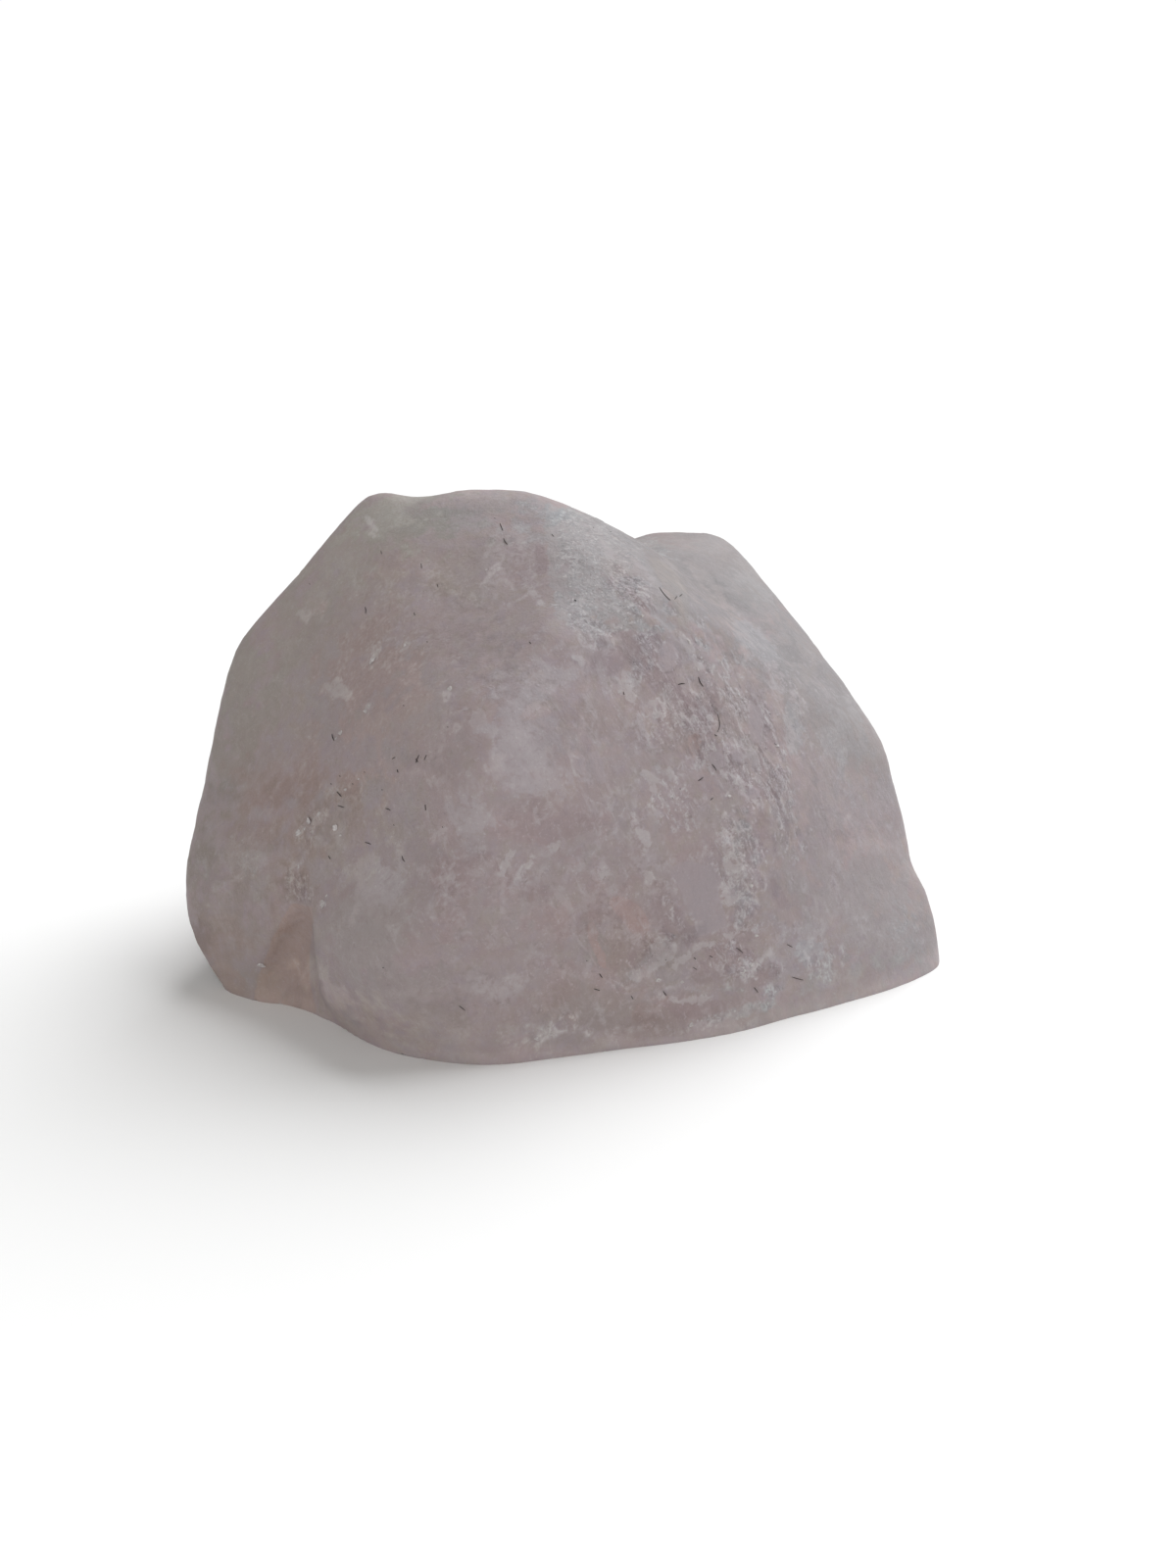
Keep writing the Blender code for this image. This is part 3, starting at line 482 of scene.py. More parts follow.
# %% Small bright marks, and where the skin is torn or combed
MARKS.update({
    "milk": [
        (506, 770, 30, 8, 85, 0.5), (545, 770, 34, 8, 60, 0.5), (525, 750, 30, 7, 70, 0.4),
        (600, 657, 22, 7, 15, 0.7), (628, 667, 18, 7, 60, 0.7), (638, 692, 16, 7, 75, 0.8),
        (768, 658, 24, 13, 50, 0.6), (768, 645, 30, 9, 48, 0.7), (790, 690, 26, 9, 62, 0.7),
        (813, 712, 28, 10, 72, 0.7), (806, 752, 24, 8, 85, 0.6), (842, 704, 22, 12, 55, 0.3),
        (826, 672, 18, 10, 50, 0.4), (224, 905, 14, 12, 0, 0.5), (311, 626, 11, 10, 0, 0.6),
        (343, 704, 15, 9, 30, 0.9), (380, 538, 10, 7, 70, 0.8), (498, 1010, 26, 11, 12, 0.8),
        (530, 1000, 20, 9, 30, 0.6), (566, 1056, 32, 7, -6, 0.9), (712, 1047, 15, 6, -10, 0.9),
        (640, 1051, 30, 5, -5, 0.6), (695, 802, 10, 7, 0, 0.5), (607, 890, 12, 8, 0, 0.5),
        (578, 905, 10, 8, 60, 0.5), (640, 840, 14, 8, 50, 0.5), (690, 850, 16, 7, 80, 0.6),
        (440, 925, 22, 8, 85, 0.5), (400, 990, 20, 10, 20, 0.4), (305, 750, 12, 6, 30, 0.5),
        (270, 830, 20, 8, -30, 0.4), (505, 690, 20, 9, 80, 0.5), (540, 700, 16, 8, 80, 0.5),
        (690, 1005, 26, 5, -30, 0.7), (730, 990, 24, 4, -35, 0.5), (503, 583, 16, 3, -45, 1.0),
        (513, 571, 14, 3, -50, 0.9), (498, 562, 9, 3, -60, 0.7), (519, 596, 12, 4, 30, 0.8),
        (536, 540, 10, 4, 10, 0.8), (545, 606, 12, 5, 40, 0.8), (529, 612, 14, 4, -30, 0.7),
        # The dashes at (457, 705), (383, 667), (414, 659), (376, 721), (320, 838), (305, 848), (343, 846),
        # (306, 881) and (329, 922) lie under glassy chips: they are painted glints.
        (533, 556, 8, 3, -60, 0.6), (457, 705, 13, 4, -75, 1.0), (383, 667, 14, 4, -60, 0.8),
        (414, 659, 6, 3, -50, 0.8), (376, 721, 8, 5, -70, 0.8), (320, 838, 14, 7, -40, 1.0),
        (305, 848, 9, 4, -40, 0.9), (343, 846, 8, 5, -60, 0.7), (306, 881, 8, 5, -30, 0.9),
        (329, 922, 8, 4, -60, 0.9), (405, 870, 10, 6, 60, 0.5), (428, 885, 10, 6, 70, 0.6),
        (720, 640, 14, 4, 50, 0.7), (706, 655, 12, 3, 55, 0.7), (724, 700, 16, 3, 62, 0.8),
        (738, 724, 16, 3, 62, 0.7), (713, 716, 18, 3, 62, 0.6), (704, 700, 18, 3, 62, 0.6),
        (690, 745, 18, 3, 62, 0.5), (752, 760, 12, 4, 30, 0.7), (765, 770, 12, 4, -20, 0.7),
        (775, 800, 14, 4, 60, 0.7), (760, 812, 12, 4, 50, 0.7), (730, 790, 16, 3, 62, 0.6),
        (700, 775, 14, 3, -30, 0.6), (680, 790, 14, 4, 40, 0.6),
    ],
    "frost": [
        (608, 576, 54, 44, 75, 1.0), (584, 546, 40, 22, 80, 1.0), (626, 610, 44, 28, 25, 1.0),
        (592, 606, 34, 34, 0, 1.0), (622, 545, 40, 16, 35, 0.9), (600, 520, 34, 12, 25, 0.8),
        (700, 641, 46, 7, 42, 0.8), (640, 640, 46, 8, 0, 0.8), (770, 665, 28, 16, 50, 0.5),
        (805, 702, 70, 13, 62, 0.45), (842, 765, 60, 18, 70, 0.3), (757, 880, 48, 13, 92, 0.8),
        (823, 973, 18, 14, 0, 0.4), (655, 985, 40, 7, -42, 0.7), (740, 1010, 40, 5, 0, 0.6),
        (258, 880, 14, 12, 0, 0.5), (545, 1050, 40, 8, 0, 0.4), (925, 952, 30, 20, 80, 0.5),
        (655, 553, 34, 12, 38, 0.7), (540, 520, 24, 8, 10, 0.5), (230, 800, 14, 9, 0, 0.4),
        (745, 1035, 40, 7, -12, 0.6), (395, 900, 24, 18, 30, 0.4),
    ],
    "torn": [
        (765, 762, 90, 30, 66, 1.0), (754, 880, 58, 22, 85, 1.0), (745, 985, 60, 24, 10, 1.0),
        (610, 645, 40, 14, 10, 0.7), (700, 640, 42, 11, 42, 0.6), (690, 735, 60, 26, 60, 0.6),
        (692, 830, 40, 24, 70, 0.7), (650, 985, 40, 14, -42, 0.8), (566, 1052, 46, 10, -5, 0.6),
        (712, 1045, 30, 8, -10, 0.7), (316, 842, 22, 13, -50, 0.7), (303, 908, 18, 12, 60, 0.9),
        (331, 922, 9, 6, -60, 0.7), (830, 985, 40, 18, -10, 0.6), (382, 668, 14, 8, -60, 0.5),
        (528, 885, 26, 18, -50, 0.3), (530, 570, 40, 26, 80, 0.15), (350, 808, 26, 14, 0, 0.4),
        (642, 945, 28, 22, 80, 0.3), (800, 835, 44, 18, 75, 0.6), (650, 850, 50, 50, 0, 0.2),
        (606, 600, 40, 40, 75, 0.30),
    ],
    "fibre": [
        (690, 705, 62, 22, 60, 1.0), (720, 765, 44, 17, 62, 0.9), (655, 612, 38, 15, 46, 1.0),
        (530, 575, 38, 24, 78, 0.3), (770, 740, 60, 18, 68, 0.6), (735, 985, 50, 14, 12, 0.5),
        (472, 895, 36, 38, 0, 0.35), (692, 938, 32, 12, 62, 0.6), (308, 908, 18, 12, 62, 0.8),
        (642, 940, 26, 20, 70, 0.4), (400, 640, 90, 50, -60, 0.25), (700, 640, 44, 8, 42, 0.6),
    ],
    "clots": [
        (560, 760, 150, 110, 85, 0.8), (600, 930, 150, 110, 10, 1.0), (480, 880, 90, 80, 90, 0.9),
        (800, 700, 90, 50, 60, 1.0), (640, 700, 80, 40, 70, 0.9), (740, 880, 110, 50, 85, 0.9),
        (850, 850, 90, 90, 0, 0.4), (640, 1035, 130, 24, -5, 0.8), (500, 640, 70, 50, 60, 0.4),
        (330, 860, 80, 60, 60, 0.6), (420, 1000, 100, 50, 10, 0.5), (820, 960, 60, 36, -10, 0.9),
        (240, 890, 44, 50, 0, 0.8), (300, 720, 90, 60, 100, 0.3),
    ],
})
print(sum(len(spots) for spots in MARKS.values()), "marks in all")


# %% Sight lines and soft passages
def net_tree():
    """A search tree over the skin as it is now."""
    mesh = stone.data
    return BVHTree.FromPolygons([v.co for v in mesh.vertices],
                                [p.vertices[:] for p in mesh.polygons])


def skin_at(tree, u, v):
    """The point and the normal of the skin behind a point of the picture."""
    place, normal, _, _ = tree.ray_cast(CAMERA_AT, ray_through(u, v))
    return place, normal


def fade(value, low, high):
    """0 below low, 1 above high, with a soft passage between."""
    t = np.clip((value - low) / (high - low), 0.0, 1.0)
    return t * t * (3.0 - 2.0 * t)


def noise_at(places, wave, shift=0.0):
    """Smooth noise, from -1 to 1, at each place, with waves of that many mm."""
    move = Vector((shift, 0.5 * shift, 0.3 * shift))
    return np.array([noise.noise(Vector(place) / (wave * MM) + move) for place in places])


# %% Paint the marks on the skin
HIDDEN_CLOUD = 7.5
HIDDEN_SHARE = {"clots": 1.0, "frost": 0.8, "milk": 0.8, "rose": 0.8, "cool": 0.8, "torn": 0.7,
                "grey": 0.7, "lilac": 0.7, "mauve": 0.7, "violet": 0.6, "green": 0.6, "fibre": 0.6,
                "straw": 0.6, "brown": 0.5, "pale": 0.4, "deep": 0.4, "rust": 0.4, "moss": 0.4}
SMALL_MARK = 45.0
OVAL_EDGE, SOFTNESS = 0.88, 0.42
CRISP_SOFTNESS, CRISP_WANDER = {"frost": 0.3, "grey": 0.5}, {"frost": 0.7, "grey": 0.3}
HOME_SPREAD, HOME_MARGIN = 2.4, 1.5 * MM
PAINTED_LIGHT_RIM = 2.4

places, normals = skin_arrays()
front = fade(facing(places, normals), -0.08, 0.05)
pictures = picture_points(places)
coarse_wander = 1.0 * noise_at(places, 2.4)
fine_wander = 0.8 * noise_at(places, 0.9) + 0.5 * noise_at(places, 0.4)


def oval_offset(mark, picture):
    """How far points of the picture lie from a mark's middle: 1 is on its outline."""
    u, v, half_length, half_width, turn = mark[:5]
    du, dv = picture[:, 0] - u, picture[:, 1] - v
    angle = math.radians(turn)
    return np.hypot((du * math.cos(angle) + dv * math.sin(angle)) / half_length,
                    (dv * math.cos(angle) - du * math.sin(angle)) / half_width)


def oval_near(mark, picture, spread):
    """The numbers of the points that may lie inside a mark."""
    reach = spread * max(mark[2], mark[3])
    du, dv = picture[:, 0] - mark[0], picture[:, 1] - mark[1]
    return np.nonzero((np.abs(du) < reach) & (np.abs(dv) < reach))[0]


def near_home(near, home, half, spread):
    """Of those points, the ones that lie near the mark in space too, and not on a slope behind it."""
    reach = half / FOCAL * (home - CAMERA_AT).length
    far = np.linalg.norm(places[near] - np.array(home), axis=1)
    return near[far < spread * reach + HOME_MARGIN]


def keep_layer(name, values):
    """Keeps a number at each point of the skin under a name."""
    layer = stone.data.attributes.new(name, "FLOAT", "POINT")
    layer.data.foreach_set("value", values.astype(np.float32))


def paint(kind, tree):
    """Writes one kind of mark on the skin as a number at each point, on the hidden sides too."""
    amount = np.zeros(len(places))
    for mark in MARKS[kind]:
        near = oval_near(mark, pictures, 1.8)
        home = skin_at(tree, mark[0], mark[1])[0]
        if home is None or not len(near):
            continue
        half = max(mark[2], mark[3])
        near = near_home(near, home, half, HOME_SPREAD)
        wander = min(half / SMALL_MARK, 1.0) * coarse_wander[near] + fine_wander[near]
        offset = oval_offset(mark, pictures[near]) + CRISP_WANDER.get(kind, 1.0) * wander
        soft = CRISP_SOFTNESS.get(kind, SOFTNESS)
        inside = 1.0 - fade(offset, OVAL_EDGE - soft, OVAL_EDGE + soft)
        amount[near] = np.maximum(amount[near], mark[5] * inside)
    shift = 17.3 * (1 + sorted(MARKS).index(kind))
    cloud = noise_at(places, HIDDEN_CLOUD, shift) + 0.2 * (coarse_wander + fine_wander)
    amount = amount * front + HIDDEN_SHARE[kind] * fade(cloud, 0.05, 0.5) * (1.0 - front)
    # Painted light: the skin is painted paler along the floor, against the contact shade there, as if light
    # came through the thin rim.
    if kind == "pale":
        amount = np.maximum(amount, 1.0 - fade(places[:, 2] / MM + coarse_wander, 0.0, PAINTED_LIGHT_RIM))
    keep_layer(kind, amount)
    return round(100 * float(amount.mean()), 1)


# %% Draw the outlined marks
def inside_by(outline, picture):
    """How many pixels each picture point lies inside an outline, negative outside."""
    nearest, inside = np.full(len(picture), np.inf), np.zeros(len(picture), bool)
    for start, end in zip(outline, outline[1:] + outline[:1]):
        start, end = np.array(start, float), np.array(end, float)
        run = np.clip(((picture - start) @ (end - start)) / ((end - start) @ (end - start)), 0.0, 1.0)
        beside = picture - start - run[:, None] * (end - start)
        nearest = np.minimum(nearest, np.linalg.norm(beside, axis=1))
        spans = (start[1] > picture[:, 1]) != (end[1] > picture[:, 1])
        rise = end[1] - start[1] or 1.0
        crossing = start[0] + (picture[:, 1] - start[1]) * (end[0] - start[0]) / rise
        inside ^= spans & (picture[:, 0] < crossing)
    return np.where(inside, nearest, -nearest)


def draw(kind, tree):
    """Writes one kind of outlined mark: 0.5 on the outline, 1 well inside and 0 well outside."""
    amount = np.zeros(len(places))
    for outline in OUTLINES[kind]:
        low, high = np.min(outline, axis=0), np.max(outline, axis=0)
        middle, half = ((low + high) / 2).tolist(), ((high - low) / 2).tolist()
        home = skin_at(tree, *middle)[0]
        near = near_home(oval_near((*middle, *half), pictures, 1.6), home, max(half), 2.6)
        inside = 0.5 + inside_by(outline, pictures[near]) / OUTLINE_FADE
        amount[near] = np.maximum(amount[near], np.clip(inside, 0.0, 1.0))
    keep_layer(kind, amount * front)
    return round(100 * float((amount > 0.5).mean()), 2)


tree = net_tree()
print("share of the skin in %:", {kind: paint(kind, tree) for kind in MARKS})
print("outlined:", {kind: draw(kind, tree) for kind in OUTLINES})


# %% [markdown]
# ## The finest net, where the stone is torn
# Only the torn places need the smallest faces. Choosing them by the painted numbers and subdividing
# them once more keeps the whole piece light.

# %% Subdivide the torn places
def painted(kind):
    """The painted numbers of one kind, as an array."""
    data = stone.data.attributes[kind].data
    values = np.empty(len(data), np.float32)
    data.foreach_get("value", values)
    return values


shown = facing(*skin_arrays())
rough = np.maximum(painted("torn"), painted("fibre"))
subdivide(stone, lambda face: all(rough[i] > 0.44 and shown[i] > 0.05 for i in face.vertices))
print("net now:", len(stone.data.polygons), "faces")


# %% [markdown]
# ## Relief
# Where quartz tears it comes off in plates: each small plate is a nearly flat face that leans its own
# way and ends in a step. That is made here by giving each cell of a Voronoi pattern a random lean. In
# the torn places the cells are stretched along the grain, which runs down to the right, and they are
# narrow like fibres in the combed places. A few larger plates are listed one by one. The thin rim of a
# plate lets light through, so it is paler: its place is kept as a painted number, and so is a random
# tint for each plate. Everywhere else there is only a faint swell. The level break underneath stays
# level, so the relief fades out just above it.

# %% Plates, listed one by one: picture place, half sizes, turn, height in mm, rim strength
PLATES = [
    (690, 676, 18, 15, 80, -0.05, 0.5), (709, 906, 27, 24, 70, 0.09, 0.5), (724, 978, 36, 15, 8, 0.10, 0.8),
    (784, 995, 12, 9, 10, -0.14, 0.9), (534, 799, 28, 15, 3, 0.10, 0.3), (644, 931, 24, 20, 75, 0.07, 0.4),
    (604, 963, 23, 7, 82, 0.06, 0.4), (527, 882, 14, 6, -55, 0.08, 0.3), (518, 896, 14, 5, -50, 0.07, 0.3),
    (705, 759, 12, 10, 60, -0.07, 0.6), (343, 704, 15, 9, 30, 0.04, 0.2), (768, 700, 22, 10, 66, 0.07, 0.9),
    (745, 735, 24, 9, 64, 0.07, 0.9), (783, 760, 20, 8, 72, -0.08, 0.8), (733, 800, 18, 10, 60, 0.08, 0.9),
    (762, 826, 16, 8, 70, 0.06, 0.9), (716, 826, 16, 11, 10, 0.06, 0.8), (766, 775, 14, 8, 60, 0.06, 0.9),
    (672, 640, 30, 6, 40, 0.08, 0.6), (606, 600, 30, 24, 70, 0.06, 0.3), (585, 550, 20, 12, 80, 0.05, 0.3),
    (728, 858, 12, 8, 40, 0.06, 0.8), (772, 898, 14, 8, 70, 0.07, 0.8), (745, 925, 16, 9, 90, 0.06, 0.8),
    (664, 980, 34, 8, -40, 0.07, 0.5), (702, 1008, 30, 5, 4, 0.06, 0.6), (770, 965, 22, 5, -38, 0.07, 0.7),
    (612, 735, 20, 26, 90, -0.05, 0.2), (655, 745, 16, 6, 75, 0.05, 0.4), (480, 838, 24, 15, 90, 0.05, 0.2),
]
GRAIN = Vector((0.50, -0.25, -0.83)).normalized()
TO_GRAIN = GRAIN.rotation_difference(Vector((0.0, 0.0, 1.0)))
RIM_WIDTH = 0.16


def leaning_cells(place, size, long, lean):
    """Cells that each lean their own way, stretched along the grain: height in mm, rim, random tint."""
    turned = TO_GRAIN @ (place / MM)
    spot = Vector((turned.x / size, turned.y / size, turned.z / (size * long)))
    distances, centres = noise.voronoi(spot)
    chance = noise.cell_vector(centres[0] * 41.0)
    height = 2.0 * size * lean * (chance - Vector((0.5, 0.5, 0.5))).dot(spot - centres[0])
    return height, max(0.0, 1.0 - (distances[1] - distances[0]) / RIM_WIDTH), chance.x


def add_cells(total, share, cells):
    """Adds leaning cells to a height, a rim and a tint; about half of the cells have a rim."""
    height, rim, tint = total
    rim = max(rim, min(1.0, 1.6 * share) * cells[1] * (cells[2] > 0.45))
    return height + share * cells[0], rim, tint + share * (cells[2] - 0.5)


# %% Relief at one place: cells as size in mm, length along the grain, lean
PLATE_CELLS = ((0.90, 3.2, 0.068), (0.40, 3.0, 0.105))
FIBRE_CELLS = ((0.50, 6.0, 0.11), (0.28, 5.0, 0.12))
CRUMB_CELLS = ((0.50, 1.2, 0.10),)
FAINTEST = 0.02
BEND, BEND_WAVE = 0.5 * MM, 4.0 * MM


def relief(place, tear, frosting, combing, size):
    """Height in mm that the skin moves outwards at a place, with the rim and tint of the plate there."""
    height = 0.045 * noise.noise(place / (2.1 * MM)) + 0.02 * noise.noise(place / (0.8 * MM))
    total = (height, 0.0, 0.0)
    bent = place + noise.noise_vector(place / BEND_WAVE) * BEND
    for amount, share, spot, cells in ((tear, 1.0, bent, PLATE_CELLS), (combing, 1.0, bent, FIBRE_CELLS),
                                       (frosting, 0.7, place, CRUMB_CELLS)):
        if amount > FAINTEST:
            for across, long, lean in cells:
                total = add_cells(total, share * amount, leaning_cells(spot, across * size, long, lean))
    return total


# %% Move the skin
HIDDEN_SIZE = 2.0
STEPS = {"facet": 0.06, "snow": 0.05}


def move_skin():
    """Moves every point out along its normal, and keeps the rims and tints of the plates."""
    places, normals = skin_arrays()
    shown = fade(facing(places, normals), -0.05, 0.2)
    pictures = picture_points(places)
    tears, frosts, combs = (painted(kind) for kind in ("torn", "frost", "fibre"))
    heights, rims, tints = (np.zeros(len(places)) for _ in range(3))
    for i, place in enumerate(places):
        size = 1.0 if shown[i] > 0.5 else HIDDEN_SIZE
        heights[i], rims[i], tints[i] = relief(Vector(place), tears[i], frosts[i], combs[i], size)
    for plate in PLATES:
        near = oval_near(plate, pictures, 1.5)
        near = near[shown[near] > 0.3]
        wobble = 0.45 * noise_at(places[near], 0.9) + 0.25 * noise_at(places[near], 0.35)
        shows = fade(noise_at(places[near], 1.1, 5.0), -0.05, 0.30)
        offset = oval_offset(plate, pictures[near]) + wobble
        inside = 1.0 - fade(offset, 0.86, 1.06)
        heights[near] = heights[near] * (1.0 - 0.6 * inside) + plate[5] * inside
        rims[near] = np.maximum(rims[near] * (1.0 - 0.8 * inside),
                                plate[6] * shows * np.clip(1.0 - np.abs(offset - 0.96) / 0.12, 0.0, 1.0))
    flat = fade(painted("facet"), 0.42, 0.58)
    heights *= 1.0 - 0.7 * flat
    rims *= 1.0 - 0.9 * flat
    tints *= 1.0 - 0.8 * flat
    for kind, step in STEPS.items():
        drawn = painted(kind) + 0.05 * noise_at(places, 0.5, 3.0)
        heights += step * fade(drawn, 0.42, 0.58)
        shows = fade(noise_at(places, 1.1, 7.0), -0.05, 0.25)
        rims = np.maximum(rims, 0.8 * shows * np.clip(1.0 - np.abs(drawn - 0.5) / 0.07, 0.0, 1.0))
    heights *= fade(places[:, 2], 0.15 * MM, 1.6 * MM)
    places += normals * heights[:, None] * MM
    places[:, 2] = np.where(places[:, 2] < 0.02 * MM, 0.0, places[:, 2])
    stone.data.vertices.foreach_set("co", places.astype(np.float32).ravel())
    keep_layer("rims", rims)
    keep_layer("tints", tints)
    stone.data.update()
    return heights


heights = move_skin()
choose_only(stone)
bpy.ops.object.shade_smooth_by_angle(angle=math.radians(55.0))
print("skin moved", round(float(heights.min()), 2), "to", round(float(heights.max()), 2), "mm, triangles:",
      sum(len(p.vertices) - 2 for p in stone.data.polygons))

# %% The skin stands for the solid
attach(stone, "root")
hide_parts("amethyst")


# %% [markdown]
# ## Shader helpers
# A material is a small machine of nodes. These helpers add a node and join it in one line, so that the
# cells further down can be read from top to bottom like a recipe.

# %% Node helpers
def add(tree, kind, links=None, **settings):
    """Adds a node, sets its properties and joins or fills its inputs."""
    node = tree.nodes.new(kind)
    for name, value in settings.items():
        setattr(node, name, value)
    for socket, value in (links or {}).items():
        if isinstance(value, bpy.types.NodeSocket):
            tree.links.new(value, node.inputs[socket])
        else:
            node.inputs[socket].default_value = value
    return node


def math_node(tree, operation, a, b=0.0, clamp=False):
    return add(tree, "ShaderNodeMath", {0: a, 1: b}, operation=operation, use_clamp=clamp).outputs[0]


def times(tree, *factors):
    """Multiplies any number of values."""
    product = factors[0]
    for factor in factors[1:]:
        product = math_node(tree, "MULTIPLY", product, factor)
    return product


def ramp(tree, value, low, high, to_low=0.0, to_high=1.0):
    """A soft passage from one value to another."""
    node = add(tree, "ShaderNodeMapRange", {"Value": value, "From Min": low, "From Max": high,
                                            "To Min": to_low, "To Max": to_high},
               interpolation_type="SMOOTHSTEP")
    return node.outputs["Result"]


def blend(tree, amount, under, over, way="MIX"):
    """Lays one colour over another by an amount, or with way="MULTIPLY" as a filter."""
    node = add(tree, "ShaderNodeMix", {"Factor": amount}, data_type="RGBA", blend_type=way)
    for name, value in ((6, under), (7, over)):
        if isinstance(value, bpy.types.NodeSocket):
            tree.links.new(value, node.inputs[name])
        else:
            node.inputs[name].default_value = (*value, 1.0)
    return node.outputs[2]


def cloud(tree, place, size, detail=2.0, roughness=0.5, distortion=0.0):
    """Noise whose clouds are about that many mm across, from 0 to 1."""
    node = add(tree, "ShaderNodeTexNoise", {"Vector": place, "Scale": 1.0 / size, "Detail": detail,
                                            "Roughness": roughness, "Distortion": distortion})
    return node.outputs["Fac"]


def mark(tree, kind):
    """The painted amount of one kind of mark."""
    return add(tree, "ShaderNodeAttribute", attribute_name=kind).outputs["Fac"]


def place_in_mm(tree):
    """The place on the piece, in mm."""
    place = add(tree, "ShaderNodeTexCoord").outputs["Object"]
    return add(tree, "ShaderNodeVectorMath", {0: place, "Scale": 1.0 / MM}, operation="SCALE").outputs[0]


def stretched(tree, place, turn, long):
    """The place, turned and squeezed so that a pattern on it is drawn out along one direction."""
    return add(tree, "ShaderNodeMapping", {"Vector": place, "Rotation": turn, "Scale": (1.0, 1.0, long)},
               vector_type="TEXTURE").outputs[0]


# %% [markdown]
# ## A group for crystal flakes
# The same flake pattern is needed at several sizes, along the grain and without it, on the stone and on
# the chips. A node group keeps it in one place. Every Voronoi cell is a flake with its own lean (the
# height), its own random tint, and an edge that can be lightened.

# %% The flake group
def make_flake_group():
    group = bpy.data.node_groups.new("crystal_flakes", "ShaderNodeTree")
    for name, kind, start in (("Place", "NodeSocketVector", None), ("Size", "NodeSocketFloat", 1.0)):
        socket = group.interface.new_socket(name=name, in_out="INPUT", socket_type=kind)
        if start is not None:
            socket.default_value = start
    for name in ("Height", "Tint", "Edge"):
        group.interface.new_socket(name=name, in_out="OUTPUT", socket_type="NodeSocketFloat")
    given = group.nodes.new("NodeGroupInput")
    scale = math_node(group, "DIVIDE", 1.0, given.outputs["Size"])
    spot = add(group, "ShaderNodeVectorMath", {0: given.outputs["Place"], "Scale": scale},
               operation="SCALE").outputs[0]
    cells = add(group, "ShaderNodeTexVoronoi", {"Vector": spot, "Scale": 1.0})
    rims = add(group, "ShaderNodeTexVoronoi", {"Vector": spot, "Scale": 1.0}, feature="DISTANCE_TO_EDGE")
    off = add(group, "ShaderNodeVectorMath", {0: spot, 1: cells.outputs["Position"]},
              operation="SUBTRACT").outputs[0]
    lean = add(group, "ShaderNodeVectorMath", {0: cells.outputs["Color"], 1: (0.5, 0.5, 0.5)},
               operation="SUBTRACT").outputs[0]
    tilt = add(group, "ShaderNodeVectorMath", {0: off, 1: lean}, operation="DOT_PRODUCT").outputs["Value"]
    height = math_node(group, "MULTIPLY", tilt, given.outputs["Size"])
    tint = add(group, "ShaderNodeSeparateColor", {"Color": cells.outputs["Color"]}).outputs[1]
    out = group.nodes.new("NodeGroupOutput")
    group.links.new(height, out.inputs["Height"])
    group.links.new(tint, out.inputs["Tint"])
    group.links.new(ramp(group, rims.outputs["Distance"], 0.0, 0.09, 1.0, 0.0), out.inputs["Edge"])
    return group


FLAKES = make_flake_group()
print("group", FLAKES.name, "with", len(FLAKES.nodes), "nodes")


def flakes(tree, place, size):
    """Places the flake group in a material."""
    node = add(tree, "ShaderNodeGroup", node_tree=FLAKES)
    tree.links.new(place, node.inputs["Place"])
    node.inputs["Size"].default_value = size
    return node.outputs


# %% [markdown]
# ## The quartz itself
# The colours below are what the eye meets: a body between grey and rose, brighter milk, cool frost, and
# small brown and greenish places. The painted numbers say where each one lies, and noise at several
# sizes (clouds, curds, crumbs and specks) breaks them up, because inside the stone no patch has a clean
# outline. Light goes a little way into milky quartz and comes out again, so the shader has some
# subsurface scattering, with quartz's own refraction of 1.54. A dusty broken skin hardly mirrors, so
# its specular level is low and its roughness high, apart from the smooth plates.

# %% Colours of the stone
BODY_ROSE = (0.330, 0.271, 0.276)
BODY_GREY = (0.318, 0.272, 0.273)
TINTS = {
    "green": (0.288, 0.258, 0.246),
    "cool": (0.330, 0.290, 0.286),
    "grey": (0.270, 0.250, 0.252),
    "rose": (0.320, 0.250, 0.252),
    "lilac": (0.348, 0.302, 0.312),
    "violet": (0.286, 0.231, 0.243),
    "brown": (0.300, 0.242, 0.234),
    "frost": (0.300, 0.287, 0.292),
    "milk": (0.398, 0.354, 0.362),
}
DRAWN_TINTS = {
    "olive": (0.283, 0.238, 0.226),
    "rosy": (0.286, 0.228, 0.231),
    "plum": (0.270, 0.215, 0.228),
    "orange": (0.352, 0.266, 0.256),
    # Amber is paler than the brown stone: painted light in the split.
    "amber_with_painted_light": (0.350, 0.268, 0.246),
    "facet": (0.335, 0.287, 0.300),
    "tan": (0.315, 0.282, 0.272),
    "crust": (0.312, 0.300, 0.310),
    "milky": (0.372, 0.330, 0.340),
    "snow": (0.410, 0.372, 0.376),
}
DRAWN_SHARE = {"milky": 0.5, "crust": 0.6, "tan": 0.75, "snow": 0.65, "plum": 0.6, "olive": 0.55,
               "rosy": 0.6, "orange": 0.75}
RAGGED = {"crust": 1.3, "snow": 1.4, "milky": 1.2, "tan": 1.2, "rosy": 0.8, "plum": 0.9, "olive": 1.0}
SOFT = ("green", "cool", "rose", "brown")
SMOOTH = ("grey", "pale", "deep", "straw", "mauve", "rust", "moss")
FILTERS = {"straw": (1.0, 0.995, 0.93), "mauve": (0.935, 0.968, 1.0), "rust": (1.0, 0.95, 0.94),
           "moss": (0.962, 1.0, 0.985)}
STRAW_TINGE, MAUVE_TINGE = (0.318, 0.274, 0.252), (0.312, 0.262, 0.290)
WARM, CHILL = (0.312, 0.247, 0.244), (0.322, 0.286, 0.290)
